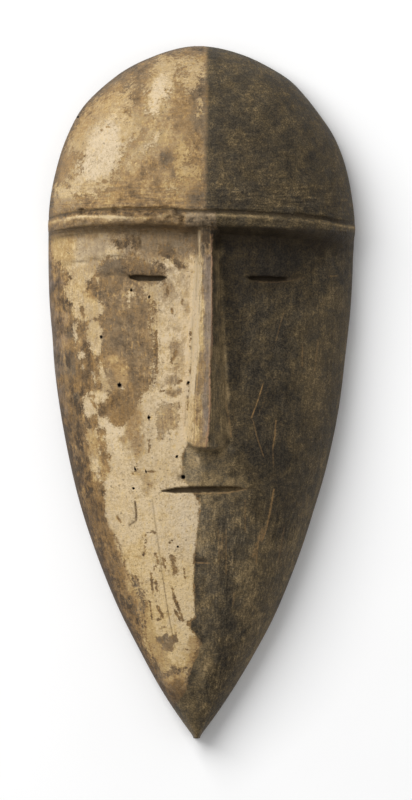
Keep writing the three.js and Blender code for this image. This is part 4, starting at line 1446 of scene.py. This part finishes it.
def shade_dirt_and_bare_wood(n, noises, colour):
    """Lays the lip's blob, the grime and painted shade of creases, the slits' painted shade and grime, and
    the bare wood over the paint.
    """
    colour = n.blend(n.times(n.field("lip_blob"), 0.8), colour, LIP_PIGMENT)
    # Grime with painted shade in creases and under the band
    dirt_and_shade = n.times(n.field("dirt_and_shade"), n.ramp(noises.medium, 0.2, 0.5, 0.75, 1.0))
    colour = n.blend(dirt_and_shade, colour, DEEP_DIRT_AND_SHADE)
    # The slits' painted shade and grime, darker on the dark half
    slit = n.blend(n.ramp(n.field("dark_side"), 2, 14), SHADED_SLIT_WOOD, SLIT_SHADE)
    colour = n.blend(n.field("slit"), colour, slit)
    bare = n.tones(n.noise(1.6, 24, detail=5, shift=53.0), BARE_WOOD)
    return n.blend(n.field("bare"), colour, bare)


def paint_relief(n, noises, left, is_dark):
    """The height of the paint's grain and of the pigment's thickness, from 0 to 1."""
    thickness = n.times(left, n.minus(1.0, is_dark))
    return n.add(
        (thickness, 0.12, 0.5), (noises.fine, 0.12, 0.5), (noises.grit, 0.05, 0.5),
        (noises.grain, 0.12, 0.0), (noises.medium, 0.10, 0.5),
    )


def painted_wood():
    n = Nodes("painted_wood")
    noises = wood_noises(n)
    left = pigment_left(n, noises)
    line = n.line("line_across", "line_strength")
    pale_tone, pale = pale_half(n, noises, left, line)
    is_dark = dark_share(n, noises)
    colour = n.blend(is_dark, pale, dark_half(n, noises, line))
    n.feed(n.shader.inputs["Base Color"], shade_dirt_and_bare_wood(n, noises, colour))
    n.feed(n.shader.inputs["Roughness"], n.ramp(pale_tone, 0.3, 0.8, 0.62, 0.85))
    n.shader.inputs["Specular IOR Level"].default_value = 0.15
    bump = n.new("ShaderNodeBump")
    bump.inputs["Strength"].default_value = 1.0
    bump.inputs["Distance"].default_value = RELIEF_HEIGHT
    n.feed(bump.inputs["Height"], paint_relief(n, noises, left, is_dark))
    n.feed(n.shader.inputs["Normal"], bump.outputs[0])
    return n.material


def plain_material(name, lump, stops, roughness):
    """A material of one noise, whose lumps measure lump millimetres."""
    n = Nodes(name)
    n.feed(n.shader.inputs["Base Color"], n.tones(n.noise(lump, detail=2), stops))
    n.shader.inputs["Roughness"].default_value = roughness
    return n.material


# The mask
def front_height(px, py):
    """Height of the front at a pixel of the photograph."""
    x, y = place(px, py)
    x, y = np.array([x]), np.array([y])
    share = (x - middle_x(y)) / side_width(x, y, np.sign(x))
    return float(front_z(x, y, share)[0])


def hole_cutters(material):
    """One mesh of short tapered rods, which bore the holes."""
    vertices, faces = [], []
    for (px, py), radius in BORER_HOLES:
        x, y = place(px, py)
        top = front_height(px, py)
        first = len(vertices)
        for z, r in ((top + HOLE_CLEAR, radius * HOLE_MOUTH), (top - HOLE_DEPTH, radius * HOLE_FOOT)):
            for n in range(HOLE_SIDES):
                angle = 2 * math.pi * n / HOLE_SIDES
                point = (x + r * math.cos(angle), y + r * math.sin(angle), z)
                vertices.append(tuple(value * METRE for value in point))
        upper = [first + n for n in range(HOLE_SIDES)]
        lower = [first + HOLE_SIDES + n for n in range(HOLE_SIDES)]
        for n in range(HOLE_SIDES):
            after = (n + 1) % HOLE_SIDES
            faces.append((upper[n], lower[n], lower[after], upper[after]))
        faces += [tuple(upper), tuple(reversed(lower))]
    mesh = bpy.data.meshes.new("borer_holes")
    mesh.from_pydata(vertices, [], faces)
    mesh.materials.append(material)
    cutter = bpy.data.objects.new("borer_holes", mesh)
    bpy.context.scene.collection.objects.link(cutter)
    return cutter


def bore(piece, cutter):
    """Cuts the holes and gives their walls the cutter's material, near black: painted shade."""
    modifier = piece.modifiers.new("holes", "BOOLEAN")
    modifier.operation = "DIFFERENCE"
    modifier.solver = "EXACT"
    modifier.material_mode = "TRANSFER"
    modifier.object = cutter
    bpy.context.view_layer.objects.active = piece
    bpy.ops.object.modifier_apply(modifier=modifier.name)
    bpy.data.objects.remove(cutter, do_unlink=True)


def weld(mesh):
    """Joins the points that fall together at the crown and turns every face outwards."""
    shape = bmesh.new()
    shape.from_mesh(mesh)
    bmesh.ops.remove_doubles(shape, verts=shape.verts, dist=1e-7)
    bmesh.ops.recalc_face_normals(shape, faces=shape.faces)
    shape.to_mesh(mesh)
    shape.free()


def make_mask():
    """The whole mask as one mesh, painted, welded and bored."""
    points, first, count = loop_points()
    rows, loop = points.shape[:2]
    faces = loop_faces(rows, loop)
    faces += end_faces(0, first, count, loop) + end_faces((rows - 1) * loop, first, count, loop)
    mesh = bpy.data.meshes.new("carved_mask")
    mesh.from_pydata((points.reshape(-1, 3) * METRE).tolist(), [], faces)
    paint(mesh, points, first, count)
    weld(mesh)
    mesh.materials.append(painted_wood())
    piece = bpy.data.objects.new("carved_mask", mesh)
    bpy.context.scene.collection.objects.link(piece)
    bore(piece, hole_cutters(plain_material("bored_hole_shade", 0.6, BORED_HOLE_SHADE, 0.95)))
    piece.data.shade_smooth()
    return piece


# Surroundings in metres and watts, the sensor in mm; a light is its name, place, size and power
CAMERA_HEIGHT = 6.0
CAMERA_REACH = 30.0
SENSOR = 36.0
FLOOR_HALF, FLOOR_DROP = 6.0, 0.0002
LIGHTS = [("key", (-0.8, 0.8, 1.3), 1.3, 30), ("fill", (0.9, -0.4, 1.4), 1.4, 1.5)]
LIGHTS_AIM = (0, 0, 0.02)
SKY_STRENGTH = 0.4


def make_floor():
    mesh = bpy.data.meshes.new("floor")
    corners = [(-1, -1), (1, -1), (1, 1), (-1, 1)]
    mesh.from_pydata([(x * FLOOR_HALF, y * FLOOR_HALF, -FLOOR_DROP) for x, y in corners], [], [(0, 1, 2, 3)])
    mesh.materials.append(plain_material("floor_paint", 60, FLOOR_WHITE, 0.9))
    floor = bpy.data.objects.new("floor", mesh)
    bpy.context.scene.collection.objects.link(floor)


def make_camera():
    x, y = place(FRAME_WIDTH / 2, FRAME_HEIGHT / 2)
    camera = bpy.data.objects.new("camera", bpy.data.cameras.new("camera"))
    camera.data.sensor_width = SENSOR
    camera.data.lens = SENSOR * CAMERA_HEIGHT / (FRAME_HEIGHT * PIXEL * METRE)
    camera.location = (x * METRE, y * METRE, CAMERA_HEIGHT + EDGE_HEIGHT * METRE)
    camera.data.clip_end = CAMERA_REACH
    bpy.context.scene.collection.objects.link(camera)
    bpy.context.scene.camera = camera


def make_light(name, position, size, power):
    light = bpy.data.objects.new(name, bpy.data.lights.new(name, "AREA"))
    light.data.size = size
    light.data.energy = power
    light.location = position
    aim = Vector(LIGHTS_AIM) - Vector(position)
    light.rotation_euler = aim.to_track_quat("-Z", "Y").to_euler()
    bpy.context.scene.collection.objects.link(light)


def make_sky():
    world = bpy.data.worlds.new("sky")
    world.use_nodes = True
    background = world.node_tree.nodes["Background"]
    background.inputs["Color"].default_value = (1.0, 1.0, 1.0, 1.0)
    background.inputs["Strength"].default_value = SKY_STRENGTH
    bpy.context.scene.world = world


make_camera()
mask = make_mask()
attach(mask, "root")
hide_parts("mask")
make_floor()
for light_row in LIGHTS:
    make_light(*light_row)
make_sky()
bpy.context.scene.view_settings.view_transform = "Standard"
